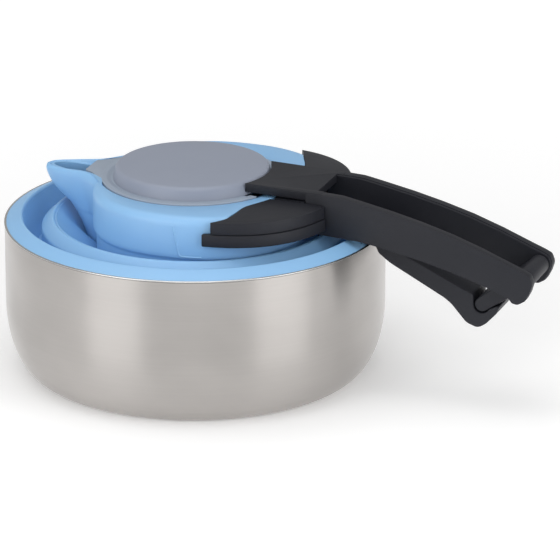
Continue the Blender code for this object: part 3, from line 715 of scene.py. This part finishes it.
def shellLoop(inset, tipX, half):
    length, width = shell["halfLength"] - inset, shell["halfWidth"] - inset
    turn = math.pi - angleAtY(width, half)
    body = ovalArc(shell["centre"], length, width, -turn, turn, shell["bodySteps"] - 1)
    rootX = body[-1][0]
    side = [(rootX + (tipX - rootX) * far, half * wide) for far, wide in shell["beakFlare"]]
    return withBeak(body, side)


def channelLoop(radius, spread):
    # the lid's round seat with the pouring channel, drawn wider or narrower by spread
    centre = shell["seatCentre"]
    turn = math.pi - math.asin((shell["channelRoot"] + spread) / radius)
    body = []
    for i in range(shell["bodySteps"]):
        a = -turn + 2 * turn * i / (shell["bodySteps"] - 1)
        body.append((centre + radius * math.cos(a), radius * math.sin(a)))
    run = [(x * mm - 0.3 * spread, y * mm + spread) for x, y in shell["channel"]]
    side = [body[-1]] + run + [(shell["channelTip"] - spread, 0.0)]
    return withBeak(body, side)


def wrapLoops(name, loops):
    # one circle drawn out into a ring for each level, each ring then moved to its outline,
    # and the last ring joined to the first
    count = len(loops[0][1])
    dropSelection()
    bpy.ops.mesh.primitive_circle_add(vertices=count, radius=0.05, location=(0, 0, 0))
    piece = nameNew(name)
    bpy.ops.object.mode_set(mode="EDIT")
    for _ in loops[1:]:
        bpy.ops.mesh.extrude_region_move(TRANSFORM_OT_translate={"value": (0, 0, 0.001)})
    bpy.ops.object.mode_set(mode="OBJECT")
    for index, (height, outline) in enumerate(loops):
        for k in range(count):
            x, y = outline[k]
            z = height(x, y) if callable(height) else height
            piece.data.vertices[index * count + k].co = (x, y, z)
    mesh = bmesh.new()
    mesh.from_mesh(piece.data)
    mesh.verts.ensure_lookup_table()
    last = (len(loops) - 1) * count
    for k in range(count):
        n = (k + 1) % count
        mesh.faces.new((mesh.verts[k], mesh.verts[n], mesh.verts[last + n], mesh.verts[last + k]))
    mesh.to_mesh(piece.data)
    mesh.free()
    fixFaces(piece)
    return piece


def eased(value, start, reach):
    # 0 up to start, 1 from start + reach on, and smooth between them
    t = min(max((value - start) / reach, 0.0), 1.0)
    return t * t * (3 - 2 * t)


def lipHeight(z):
    # the beak's lip runs down a little towards its tip
    share = max(0.0, (z - shell["lipLow"]) / shell["lipSpan"])

    def height(x, y):
        return z - shell["lipDrop"] * share * eased(-x, *shell["lipRun"])

    return height


def channelFloor(z):
    # the pouring channel gets shallower towards the tip
    def height(x, y):
        return z * mm + (shell["channelTipFloor"] - z) * mm * eased(-x, *shell["channelRun"])

    return height


def beakTip(z, pull):
    return -between(z, shell["keel"]) * mm + pull * mm


def buildShell():
    loops = []
    half = shell["beakHalf"]
    shoulder, bend = shell["shoulder"], shell["round"]

    def outer(z, inset, pull=0.0, narrow=0.0):
        loops.append((lipHeight(z * mm), shellLoop(inset * mm, beakTip(z, pull), half - narrow * mm)))

    # up the outside: foot, ledge above the folded wall, side, rounded shoulder
    lip = shell["lip"] / mm
    foot = [(59.0, 2.0), (59.4, 1.55), (63.0, 1.5), (68.0, 1.5), (72.8, 1.5)]
    ledge = [(lip - 0.9, 1.4), (lip - 0.3, 0.95), (lip + 0.1, 0.4), (lip + 0.7, 0.08)]
    side = [(z, 0.0) for z in (77.0, 79.0, 81.0, 83.0, 85.0, 87.0, 89.0, 90.4)]
    for z, inset in foot + ledge + side:
        outer(z, inset)
    steps = shell["roundSteps"]
    for i in range(1, steps + 1):
        a = math.pi / 2 * i / steps
        inset = bend / mm * (1 - math.cos(a))
        level = (shoulder + bend * math.sin(a)) / mm
        outer(level, inset, shell["roundPull"] * inset, shell["roundNarrow"] * inset)

    # over the top, down the lid's seat and through the hole under it
    seat, hole = shell["seatRadius"], shell["holeRadius"]
    top = shoulder + bend
    mouth = [
        (lipHeight(top), seat + 0.9 * mm, 0.7 * mm),
        (lipHeight(top - 0.25 * mm), seat + 0.3 * mm, 0.25 * mm),
        (lipHeight(top - 0.8 * mm), seat, 0.0),
        (channelFloor(92.3), seat, -0.6 * mm),
        (channelFloor(92.2), seat - 0.3 * mm, -1.2 * mm),
        (channelFloor(92.2), hole + 0.4 * mm, -1.7 * mm),
        (91.8 * mm, hole, -1.7 * mm),
        (89.6 * mm, hole, -1.7 * mm),
        (89.1 * mm, hole + 0.4 * mm, -1.7 * mm),
    ]
    for height, radius, spread in mouth:
        loops.append((height, channelLoop(radius, spread)))

    # down the inside
    inner = [
        (89.0, 3.6, 3.4), (87.5, 2.6, 3.0), (83.0, 2.6, 3.0), (78.0, 2.6, 3.0),
        (74.0, 2.6, 3.0), (70.0, 4.1, 2.8), (59.4, 4.1, 2.8), (59.0, 3.7, 2.6),
    ]
    for z, inset, pull in inner:
        loops.append((z * mm, shellLoop(inset * mm, beakTip(z, pull), half - shell["beakWall"])))
    piece = wrapLoops("topShell", loops)

    c = collar
    rim = ovalArc(c["centre"], c["halfLength"], c["halfWidth"], -math.pi / 2, math.pi / 2, 60)
    near, far = [[(x - c["frontGap"], y) for x, y in coverFront(side)] for side in (-1, 1)]
    edge = rim + far[::-1] + [(x, -y) for x, y in near]
    recess = raiseUp("coverRecess", edge, shell["coverFloor"], shell["coverCut"])
    combine(piece, recess, "DIFFERENCE")
    joinUp(piece, [raisedLine(-1), raisedLine(1)])
    finishPiece(piece, blueSilicone, "neck", ["neck_shell"], 48)


ridge = {
    # x and height of the ridge's middle, in mm
    "stations": [
        (11.7, 90.6), (11.9, 88.6), (12.9, 83.5), (14.0, 78.6),
        (14.5, 76.7), (15.6, 76.0), (19.0, 75.9), (25.0, 75.9),
    ],
    "sides": 8,
    "radius": 0.55 * mm,
    "sunk": 0.2 * mm,
}


def raisedLine(side):
    # a fine ridge that runs down the shell's wall and turns towards the collar
    stations = ridge["stations"]
    power = shell["power"]
    dropSelection()
    bpy.ops.mesh.primitive_circle_add(
        vertices=ridge["sides"], radius=ridge["radius"], location=(0, 0, 0), fill_type="NGON",
    )
    line = nameNew("raisedLine")
    bpy.ops.object.mode_set(mode="EDIT")
    for _ in stations[1:]:
        bpy.ops.mesh.extrude_region_move(TRANSFORM_OT_translate={"value": (0, 0, 0.001)})
    bpy.ops.object.mode_set(mode="OBJECT")
    rings = {}
    for vert in line.data.vertices:
        rings.setdefault(round(vert.co.z / mm), []).append(vert)
    for index, level in enumerate(sorted(rings)):
        x, z = stations[index]
        before, after = stations[max(index - 1, 0)], stations[min(index + 1, len(stations) - 1)]
        run = Vector((after[0] - before[0], after[1] - before[1])).normalized()
        along = abs(x * mm - shell["centre"]) / shell["halfLength"]
        y = shell["halfWidth"] * (1 - along ** power) ** (1 / power) - ridge["sunk"]
        for vert in rings[level]:
            a, b = vert.co.x, vert.co.y
            vert.co = (x * mm + a * run.y, side * (y + b), z * mm - a * run.x)
    fixFaces(line)
    return line


def coverFront(side):
    # the front edge of the collar's upper layer, from under the tongue out to its tip
    points = collar["frontRoot"] + collar["frontNear" if side < 0 else "frontFar"]
    return [(x * mm, y * mm) for x, y in throughPoints(points, 40)]


buildShell()


def buildInnerWeb():
    # thin wall from the middle band's round to the shell's beaked foot
    b = bands
    steps, thick = b["webSteps"], b["webThick"]
    high, low = b["innerWebHigh"], b["innerWebLow"]
    foot = shellLoop(b["innerWebInset"], b["innerWebTip"], shell["beakHalf"] + b["innerWebFlare"])
    count = len(foot)
    top = []
    for x, y in foot:
        a = math.atan2(y, x - b["innerWebCentre"])
        top.append((b["innerWebRadius"] * math.cos(a), b["innerWebRadius"] * math.sin(a)))
    loops = []
    for side in (1, -1):
        order = range(steps + 1) if side == 1 else range(steps, -1, -1)
        for i in order:
            t = i / steps
            z = high + (low - high) * t
            outline = []
            for k in range(count):
                x = top[k][0] + (foot[k][0] - top[k][0]) * t
                y = top[k][1] + (foot[k][1] - top[k][1]) * t
                out = Vector((x - b["innerWebCentre"], y)).normalized() * thick * 0.5 * side
                outline.append((x + out.x, y + out.y))
            loops.append((z - side * thick * 0.3, outline))
    web = wrapLoops("innerFold", loops)
    finishPiece(web, blueSilicone, None, ["fold_inner"], 60)
    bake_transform(web)


buildInnerWeb()
print("top shell built")


# Lid

lid = {
    "centre": -1.2 * mm,
    "rim": 43.6 * mm,
    "floor": 92.5 * mm,
    "top": 95.3 * mm,
    "cap": 37.6 * mm,
    "capTop": 101.5 * mm,
    "notchX": 31.4 * mm,
    "notchY": 18.7 * mm,
    "notchEnd": 60.0 * mm,
    # the tongue over the beak's root: tip, side and root, in mm
    "tongue": [
        (-53.3, -7.2), (-53.3, 7.2, 1.2), (-48.4, 10.7, 8),
        (-43.9, 15.9, 10), (-40.1, 20.6, 4), (-38.4, 22.6),
    ],
    "tongueEnd": (-36.8 * mm, 23.4 * mm),
    "tongueBack": (-34.0 * mm, 22.0 * mm),
    "cutLow": 90.0 * mm,
    "cutHigh": 99.0 * mm,
    "skirtOuter": 33.5 * mm,
    "skirtTop": 92.2 * mm,
    "skirtDrop": 9.5 * mm,
}


def buildLidBase():
    # flange plate with its tongue over the beak's root and the notch under the handle
    rim, centre, cap, top = lid["rim"], lid["centre"], lid["cap"], lid["top"]
    notchX, notchY, notchEnd = lid["notchX"], lid["notchY"], lid["notchEnd"]
    tip = [(x * mm, y * mm) for x, y in rounded(lid["tongue"], False)[1:]]
    mirroredTip = [(x, -y) for x, y in tip]
    endX, endY = lid["tongueEnd"]
    start = math.degrees(math.atan2(endY, endX))
    end = math.degrees(math.asin(notchY / rim))
    farArc = arc(centre, 0, rim, start, end, 40)
    nearArc = arc(centre, 0, rim, -end, -start, 40)
    notch = [(notchX, notchY), (notchX, -notchY)]
    outline = tip + farArc + notch + nearArc + mirroredTip[::-1]
    plate = raiseUp("lidBase", outline, lid["floor"], top - 0.6 * mm)
    bevelEdges(plate, 0.3 * mm, 2, 50)
    # raised edge band outside the soft groove round the cap
    band = spinRing("lidBand", [
        (cap - 0.6 * mm, top - 0.9 * mm),
        (rim - 0.05 * mm, top - 0.9 * mm, 0.1 * mm),
        (rim - 0.05 * mm, top + 0.1 * mm, 0.7 * mm),
        (cap + 3.2 * mm, top + 0.25 * mm, 1.6 * mm),
        (cap + 1.3 * mm, top - 0.45 * mm, 1.2 * mm),
        (cap + 0.3 * mm, top - 0.2 * mm, 0.4 * mm),
        (cap - 0.6 * mm, top - 0.2 * mm),
    ], centre, 160)
    cut = [(notchX, -notchY), (notchEnd, -notchY), (notchEnd, notchY), (notchX, notchY)]
    notchTool = raiseUp("notchTool", cut, lid["cutLow"], lid["cutHigh"])
    combine(band, notchTool, "DIFFERENCE")
    backX, backY = lid["tongueBack"]
    slab = [(backX, backY)] + tip[::-1] + mirroredTip + [(backX, -backY)]
    tongueTop = raiseUp("lidTongue", slab, top - 1.0 * mm, top - 0.25 * mm)
    bed = arc(centre, 0, cap + 1.6 * mm, 0, 354, 59)
    bedTool = raiseUp("bedTool", bed, lid["cutLow"], lid["cutHigh"])
    combine(tongueTop, bedTool, "DIFFERENCE")
    bevelEdges(tongueTop, 0.25 * mm, 2, 50)
    joinUp(plate, [band, tongueTop])
    finishPiece(plate, lidGrey, "lid", ["lid_base"], 40)


def buildLidCap():
    top = lid["capTop"]
    cap = spinRing("lidCap", [
        (0.0, top + 0.55 * mm),
        (10 * mm, top + 0.52 * mm),
        (20 * mm, top + 0.4 * mm),
        (28 * mm, top + 0.2 * mm),
        (32.5 * mm, top),
        (36.5 * mm, top - 0.35 * mm, 2.7 * mm),
        (37.7 * mm, top - 4.9 * mm, 3.0 * mm),
        (38.0 * mm, lid["top"] - 0.2 * mm),
        (37.6 * mm, lid["top"] - 0.5 * mm),
        (0.0, lid["top"] - 0.5 * mm),
    ], lid["centre"], 160, closed=False)
    finishPiece(cap, capGrey, "lid", ["lid_cap"], 60)


def buildLidSkirt():
    # the skirt with a groove near its foot, and the seal with its lip in that groove
    outer, high = lid["skirtOuter"], lid["skirtTop"]
    low = high - lid["skirtDrop"]
    skirt = spinRing("lidSkirt", [
        (outer, high),
        (outer, low + 3.2 * mm, 0.2 * mm),
        (outer - 1.0 * mm, low + 3.1 * mm),
        (outer - 1.0 * mm, low + 0.9 * mm),
        (outer, low + 0.8 * mm, 0.2 * mm),
        (outer - 0.1 * mm, low, 0.5 * mm),
        (outer - 2.9 * mm, low, 0.5 * mm),
        (outer - 3.0 * mm, high),
    ], lid["centre"], 128)
    finishPiece(skirt, lidGrey, "lid", ["lid_skirt"], 40)
    seal = spinRing("lidSeal", [
        (outer - 0.8 * mm, low + 1.1 * mm),
        (outer - 0.8 * mm, low + 2.9 * mm),
        (outer + 3.3 * mm, low + 2.9 * mm, 0.5 * mm),
        (outer + 4.1 * mm, low + 2.3 * mm, 0.3 * mm),
        (outer + 4.1 * mm, low + 1.8 * mm, 0.3 * mm),
        (outer + 3.3 * mm, low + 1.1 * mm, 0.5 * mm),
    ], lid["centre"], 128)
    finishPiece(seal, sealWhite, "lid", ["lid_seal"], 50)


buildLidBase()
buildLidCap()
buildLidSkirt()
print("lid built")


# Collar

def buildCollar():
    c = collar
    outerTip = angleAtX(c["centre"], c["halfLength"], c["tip"])
    outerSlot = angleAtY(c["halfWidth"], c["slotY"])
    innerLength, innerWidth = shell["halfLength"] + c["fit"], shell["halfWidth"] + c["fit"]
    innerTip = angleAtX(shell["centre"], innerLength, c["tip"])
    oval = (c["centre"], c["halfLength"], c["halfWidth"])
    far = ovalArc(*oval, outerSlot, outerTip, 44)
    inside = ovalArc(shell["centre"], innerLength, innerWidth, innerTip, -innerTip, 90)
    near = ovalArc(*oval, -outerTip, -outerSlot, 44)
    outline = [(c["slotX"], -c["slotY"]), (c["slotX"], c["slotY"])] + far + inside + near
    lower = raiseUp("collarLower", outline, c["low"], c["step"])
    bevelEdges(lower, c["edge"], 3, 40)
    finishPiece(lower, blackPlastic, "neck", ["collar_lower"], 35)

    sides = [crescentTop("collarUpperNear", -1), crescentTop("collarUpperFar", 1)]
    narrow, wide = c["bridgeHalf"]
    plan = [(c["bridgeX"], -narrow), (c["slotX"], -wide), (c["slotX"], wide), (c["bridgeX"], narrow)]
    bridge = raiseUp("collarBridge", plan, c["upperLow"], c["bridgeTop"])
    upper = joinUp(bridge, sides)
    upper.name = "collarUpper"
    finishPiece(upper, blackPlastic, "neck", ["collar_upper"], 35)


def crownHeight(x, y):
    # low at the collar's rim and rising slowly towards the lid
    power = shell["power"]
    along = abs(x - collar["centre"]) / collar["halfLength"]
    across = abs(y) / collar["halfWidth"]
    inset = (1 - (along ** power + across ** power) ** (1 / power)) * collar["crownReach"]
    return between(inset, collar["crown"]) * mm


def crescentTop(name, side):
    # a grid laid over the crescent from its tip to the slot, then pushed down
    c, power = collar, shell["power"]
    front = coverFront(side)
    start = next(i for i, point in enumerate(front) if point[1] > c["slotY"])
    front = front[start:][::-1]
    length, width = c["halfLength"] - c["upperInset"], c["halfWidth"] - c["upperInset"]
    tipAngle = angleAtX(c["centre"], length, front[0][0])
    slotAngle = angleAtY(width, c["slotY"])
    size = 0.1
    dropSelection()
    bpy.ops.mesh.primitive_grid_add(x_subdivisions=60, y_subdivisions=14, size=size, location=(0, 0, 0))
    piece = nameNew(name)
    for vert in piece.data.vertices:
        u, v = vert.co.x / size + 0.5, vert.co.y / size + 0.5
        outer = ovalPoint(c["centre"], length, width, tipAngle + (slotAngle - tipAngle) * u)
        place = u * (len(front) - 1)
        k = min(int(place), len(front) - 2)
        inner = [front[k][j] + (front[k + 1][j] - front[k][j]) * (place - k) for j in (0, 1)]
        x = inner[0] + (outer[0] - inner[0]) * v
        y = inner[1] + (outer[1] - inner[1]) * v
        vert.co = (x, side * y, crownHeight(x, y))
    pick(piece)
    bpy.ops.object.mode_set(mode="EDIT")
    bpy.ops.mesh.select_all(action="SELECT")
    bpy.ops.mesh.extrude_region_move(TRANSFORM_OT_translate={"value": (0, 0, -c["upperDrop"])})
    bpy.ops.object.mode_set(mode="OBJECT")
    # the underside lies on the lower layer outside the shell, and on the shell's rebate inside
    reach, spread = shell["halfLength"] + c["fit"], shell["halfWidth"] + c["fit"]
    for vert in piece.data.vertices:
        if vert.co.z > c["underside"]:
            continue
        along, across = abs(vert.co.x - shell["centre"]) / reach, abs(vert.co.y) / spread
        outside = along ** power + across ** power > 1
        vert.co.z = c["step"] + c["fit"] if outside else c["upperLow"]
    fixFaces(piece)
    bevelEdges(piece, c["edge"], 3, 50)
    return piece


buildCollar()
print("collar built")


# Handle

handle = {
    "outer": 18.3 * mm,
    "wall": 4.3 * mm,
    "ledge": 1.2 * mm,
    "ledgeDrop": 0.35 * mm,
    "ledgeLap": 0.1 * mm,
    "ledgeEdge": 0.75 * mm,
    "deckHalf": 18.0 * mm,
    "deckLow": 95.7 * mm,
    "deckTop": 99.75 * mm,
    "deckBack": 70.0 * mm,
    "deckLap": 0.6 * mm,
    "deckRise": 1.2 * mm,
    "deckReach": 39.0 * mm,
    "nest": 37.85 * mm,
    "channelX": 67.0 * mm,
    "edge": 0.6 * mm,
    # the plates' side outline: along the top to the far end, then back underneath, in mm
    "side": [
        (62.3, 99.5, 0.6), (70.0, 99.65, 6), (79.6, 99.15, 20), (89.5, 97.2, 40), (104.4, 94.1, 60),
        (119.2, 90.5, 80), (133.9, 86.3, 80), (148.7, 81.1, 60), (163.4, 75.2, 30), (169.4, 72.9, 8),
        (172.8, 71.3, 2.6), (174.3, 67.4, 3.5), (173.0, 63.0, 8), (170.9, 58.9, 3.0), (167.2, 56.7, 2.4),
        (164.4, 57.2, 1.8), (162.6, 59.5, 2.0), (156.3, 61.8, 20), (148.9, 64.6, 40), (134.1, 69.0, 60),
        (119.3, 72.8, 60), (104.5, 75.9, 60), (89.6, 78.6, 40), (83.2, 78.9, 10), (72.5, 79.6, 3),
        (67.5, 79.9, 3), (62.5, 83.0, 3),
    ],
}


def plateSide(inset):
    # side outline of a handle plate, drawn in evenly by inset for the inner ledge
    points = [Vector((x * mm, z * mm)) for x, z in rounded(handle["side"])]
    out = []
    for i, here in enumerate(points):
        run = (points[(i + 1) % len(points)] - points[i - 1]).normalized()
        out.append((here.x + run.y * inset, here.y - run.x * inset))
    return out


def buildHandle():
    h = handle
    plates = []
    for side in (-1, 1):
        a, b = sorted((side * h["outer"], side * (h["outer"] - h["wall"])))
        plates.append(pushAcross("plateWall", plateSide(0.0), a, b))
    frameBody = plates[0]
    half = h["deckHalf"]
    inner = h["outer"] - h["wall"] - h["ledge"]
    nestAngle = math.degrees(math.asin(half / h["nest"]))
    front = arc(lid["centre"], 0, h["nest"], -nestAngle, nestAngle, 40)
    wide = inner + h["deckLap"]
    flank = [(h["deckBack"], half), (h["deckBack"], wide), (h["channelX"], wide), (h["channelX"], 0.0)]
    whole = front + flank + [(x, -y) for x, y in flank[-2::-1]]
    deck = raiseUp("deck", whole, h["deckLow"], h["deckTop"])
    # the deck climbs towards the lid
    for vert in deck.data.vertices:
        away = (h["deckBack"] - vert.co.x) / h["deckReach"]
        vert.co.z += h["deckRise"] * max(0.0, away)
    combine(frameBody, plates[1], "UNION")
    combine(frameBody, deck, "UNION")
    frameBody.name = "handleFrame"
    bevelEdges(frameBody, h["edge"], 3, 38)
    ledges = []
    for side in (-1, 1):
        a, b = sorted((side * (inner + h["ledge"] + h["ledgeLap"]), side * inner))
        ledge = pushAcross("plateLedge", plateSide(h["ledgeDrop"]), a, b)
        bevelEdges(ledge, h["ledgeEdge"], 1, 40)
        ledges.append(ledge)
    joinUp(frameBody, ledges)
    finishPiece(frameBody, blackPlastic, "handle", ["handle_frame"], 35)


buildHandle()


def tapered(x1, z1, r1, x2, z2, r2):
    # the outline round two circles of different size
    span = math.hypot(x2 - x1, z2 - z1)
    along = math.degrees(math.atan2(z2 - z1, x2 - x1))
    lean = math.degrees(math.acos((r1 - r2) / span))
    first = arc(x1, z1, r1, along + lean, along + 360 - lean, 40)
    return first + arc(x2, z2, r2, along - lean, along + lean, 20)


latch = {
    "pivot": (168.5 * mm, 67.3 * mm),
    "finger": (147.0 * mm, 51.4 * mm),
    "fingerRadius": 3.5 * mm,
    "shankRadius": 4.4 * mm,
    "barrelRadius": 4.6 * mm,
    "halfWidth": 9.4 * mm,
}


def buildLink():
    t = latch
    outline = tapered(*t["pivot"], t["shankRadius"], *t["finger"], t["fingerRadius"])
    link = pushAcross("latchLink", outline, -t["halfWidth"], t["halfWidth"])
    bevelEdges(link, 0.6 * mm, 3, 50)
    inner = handle["outer"] - handle["wall"] - handle["ledge"] - 0.2 * mm
    roll = cylinderAcross("linkBarrel", t["barrelRadius"], -inner, inner, *t["pivot"])
    bevelEdges(roll, 1.5 * mm, 5, 50)
    joinUp(link, [roll])
    finishPiece(link, blackPlastic, "link", ["latch_link"], 35)


buildLink()


lowerArm = {
    "halfWidth": 10.0 * mm,
    "hub": (76.5 * mm, 83.6 * mm),
    "hubRadius": 4.2 * mm,
    "pocketRadius": 4.05 * mm,
    # along the underside to the hook's tip, then back over the top, in mm
    "under": [
        (79.0, 79.6), (92.6, 78.0, 3), (96.0, 71.0, 3), (101.7, 66.8, 20), (116.7, 59.0, 80),
        (129.3, 52.4, 20), (132.4, 49.9, 12), (139.6, 41.8, 5), (145.2, 39.7, 4),
        (149.2, 42.2, 5), (154.4, 47.8, 6), (155.9, 51.6, 0.9), (154.3, 51.5, 0.5),
    ],
    "over": [
        (142.9, 55.0), (142.4, 56.6, 1.0), (138.9, 57.8, 10), (131.5, 61.2, 40),
        (116.6, 68.2, 60), (106.0, 73.0, 30), (98.0, 77.2, 20), (86.0, 83.6),
    ],
}


def buildArm():
    under = [(x * mm, z * mm) for x, z in rounded(lowerArm["under"], False)]
    seat = arc(*latch["finger"], lowerArm["pocketRadius"], -26, -180, 18)
    over = [(x * mm, z * mm) for x, z in rounded(lowerArm["over"], False)]
    hub = arc(*lowerArm["hub"], lowerArm["hubRadius"], 60, 245, 14)
    half = lowerArm["halfWidth"]
    arm = pushAcross("lowerArm", under + seat + over + hub, -half, half)
    bevelEdges(arm, 0.6 * mm, 3, 40)
    finishPiece(arm, blackPlastic, "arm", ["lower_arm"], 35)


buildArm()
coverNodes(trimSteel, "hinge_pin", "arm_pin", "end_pin", "arm_washer_1", "arm_washer_2")
coverNodes(trimSteel, "collar_screw_1", "collar_screw_2", "collar_screw_3", "collar_screw_4")
coverNodes(blackPlastic, "seat_plate")
coverNodes(padRubber, "stop_pad")
print("handle built")


# Floor, light and camera

studio = {
    "floor": (0.93, 0.93, 0.93),
    # the floor's own light, seen by the camera: near the kettle and far from it
    "floorLift": (0.18, 0.7),
    "floorFade": (0.2, 1.2),
    "mirrorLift": 0.42,
    "azimuth": 20.0,
    "elevation": 19.57,
    "distance": 2.5,
    "lens": 335.07,
    "target": (38.02 * mm, 13.84 * mm, 42.7 * mm),
    "world": 0.46,
    "lamps": {
        "overhead": {"place": (-0.1, -0.1, 1.3), "aim": (0, 0, 0.05), "size": (1.1, 1.1), "power": 5.6},
        "leftSoft": {"place": (-0.31, -0.64, 0.27), "aim": (0, 0, 0.1), "size": (0.42, 0.5), "power": 1.6},
        "rightSoft": {"place": (0.68, -0.24, 0.27), "aim": (0, 0, 0.1), "size": (0.42, 0.5), "power": 1.6},
        "front": {"place": (0.45, -1.3, 1.0), "aim": (0.03, 0, 0.05), "size": (0.6, 0.5), "power": 2.3},
    },
}


def buildFloor():
    dropSelection()
    bpy.ops.mesh.primitive_plane_add(size=6.0, location=(0, 0, -0.0002))
    floor = bpy.context.object
    floor.name = "floor"
    material, tree, shader, place = newMaterial("floor")
    shader.inputs["Base Color"].default_value = (*studio["floor"], 1)
    shader.inputs["Roughness"].default_value = 0.9
    shader.inputs["Emission Color"].default_value = (1, 1, 1, 1)
    sight = tree.nodes.new("ShaderNodeLightPath")
    mirrored = tree.nodes.new("ShaderNodeMath")
    mirrored.operation = "MULTIPLY"
    mirrored.inputs[1].default_value = studio["mirrorLift"]
    tree.links.new(sight.outputs["Is Glossy Ray"], mirrored.inputs[0])
    away = tree.nodes.new("ShaderNodeVectorMath")
    away.operation = "LENGTH"
    tree.links.new(place.outputs["Object"], away.inputs[0])
    fade = addRange(tree, away.outputs["Value"], *studio["floorLift"], *studio["floorFade"])
    lift = tree.nodes.new("ShaderNodeMath")
    lift.operation = "MULTIPLY_ADD"
    tree.links.new(fade, lift.inputs[1])
    tree.links.new(sight.outputs["Is Camera Ray"], lift.inputs[0])
    tree.links.new(mirrored.outputs[0], lift.inputs[2])
    tree.links.new(lift.outputs[0], shader.inputs["Emission Strength"])
    floor.data.materials.append(material)


def buildWorld():
    # the camera sees a white world, and everything else is lit by a softer one
    world = bpy.data.worlds.new("studio")
    bpy.context.scene.world = world
    world.use_nodes = True
    tree = world.node_tree
    for node in list(tree.nodes):
        tree.nodes.remove(node)
    output = tree.nodes.new("ShaderNodeOutputWorld")
    path = tree.nodes.new("ShaderNodeLightPath")
    mix = tree.nodes.new("ShaderNodeMixShader")
    tree.links.new(path.outputs["Is Camera Ray"], mix.inputs["Fac"])
    for socket, strength in ((1, studio["world"]), (2, 1.0)):
        light = tree.nodes.new("ShaderNodeBackground")
        light.inputs["Color"].default_value = (1, 1, 1, 1)
        light.inputs["Strength"].default_value = strength
        tree.links.new(light.outputs["Background"], mix.inputs[socket])
    tree.links.new(mix.outputs["Shader"], output.inputs["Surface"])


def buildLamps():
    for name, panel in studio["lamps"].items():
        dropSelection()
        bpy.ops.object.light_add(type="AREA", location=panel["place"])
        lamp = bpy.context.object
        lamp.name = name
        lamp.data.shape = "RECTANGLE"
        lamp.data.size, lamp.data.size_y = panel["size"]
        lamp.data.energy = panel["power"]
        direction = Vector(panel["aim"]) - Vector(panel["place"])
        lamp.rotation_euler = direction.to_track_quat("-Z", "Y").to_euler()


def buildCamera():
    az = math.radians(studio["azimuth"])
    el = math.radians(studio["elevation"])
    target = Vector(studio["target"])
    back = Vector((math.sin(az) * math.cos(el), -math.cos(az) * math.cos(el), math.sin(el)))
    data = bpy.data.cameras.new("camera")
    camera = bpy.data.objects.new("camera", data)
    bpy.context.scene.collection.objects.link(camera)
    camera.location = target + back * studio["distance"]
    camera.rotation_euler = (-back).to_track_quat("-Z", "Y").to_euler()
    data.sensor_width = 36
    data.lens = studio["lens"]
    data.clip_end = 50
    data.dof.use_dof = False
    bpy.context.scene.camera = camera


buildFloor()
buildWorld()
buildLamps()
buildCamera()
bpy.context.scene.view_settings.view_transform = "Standard"
print("studio ready")
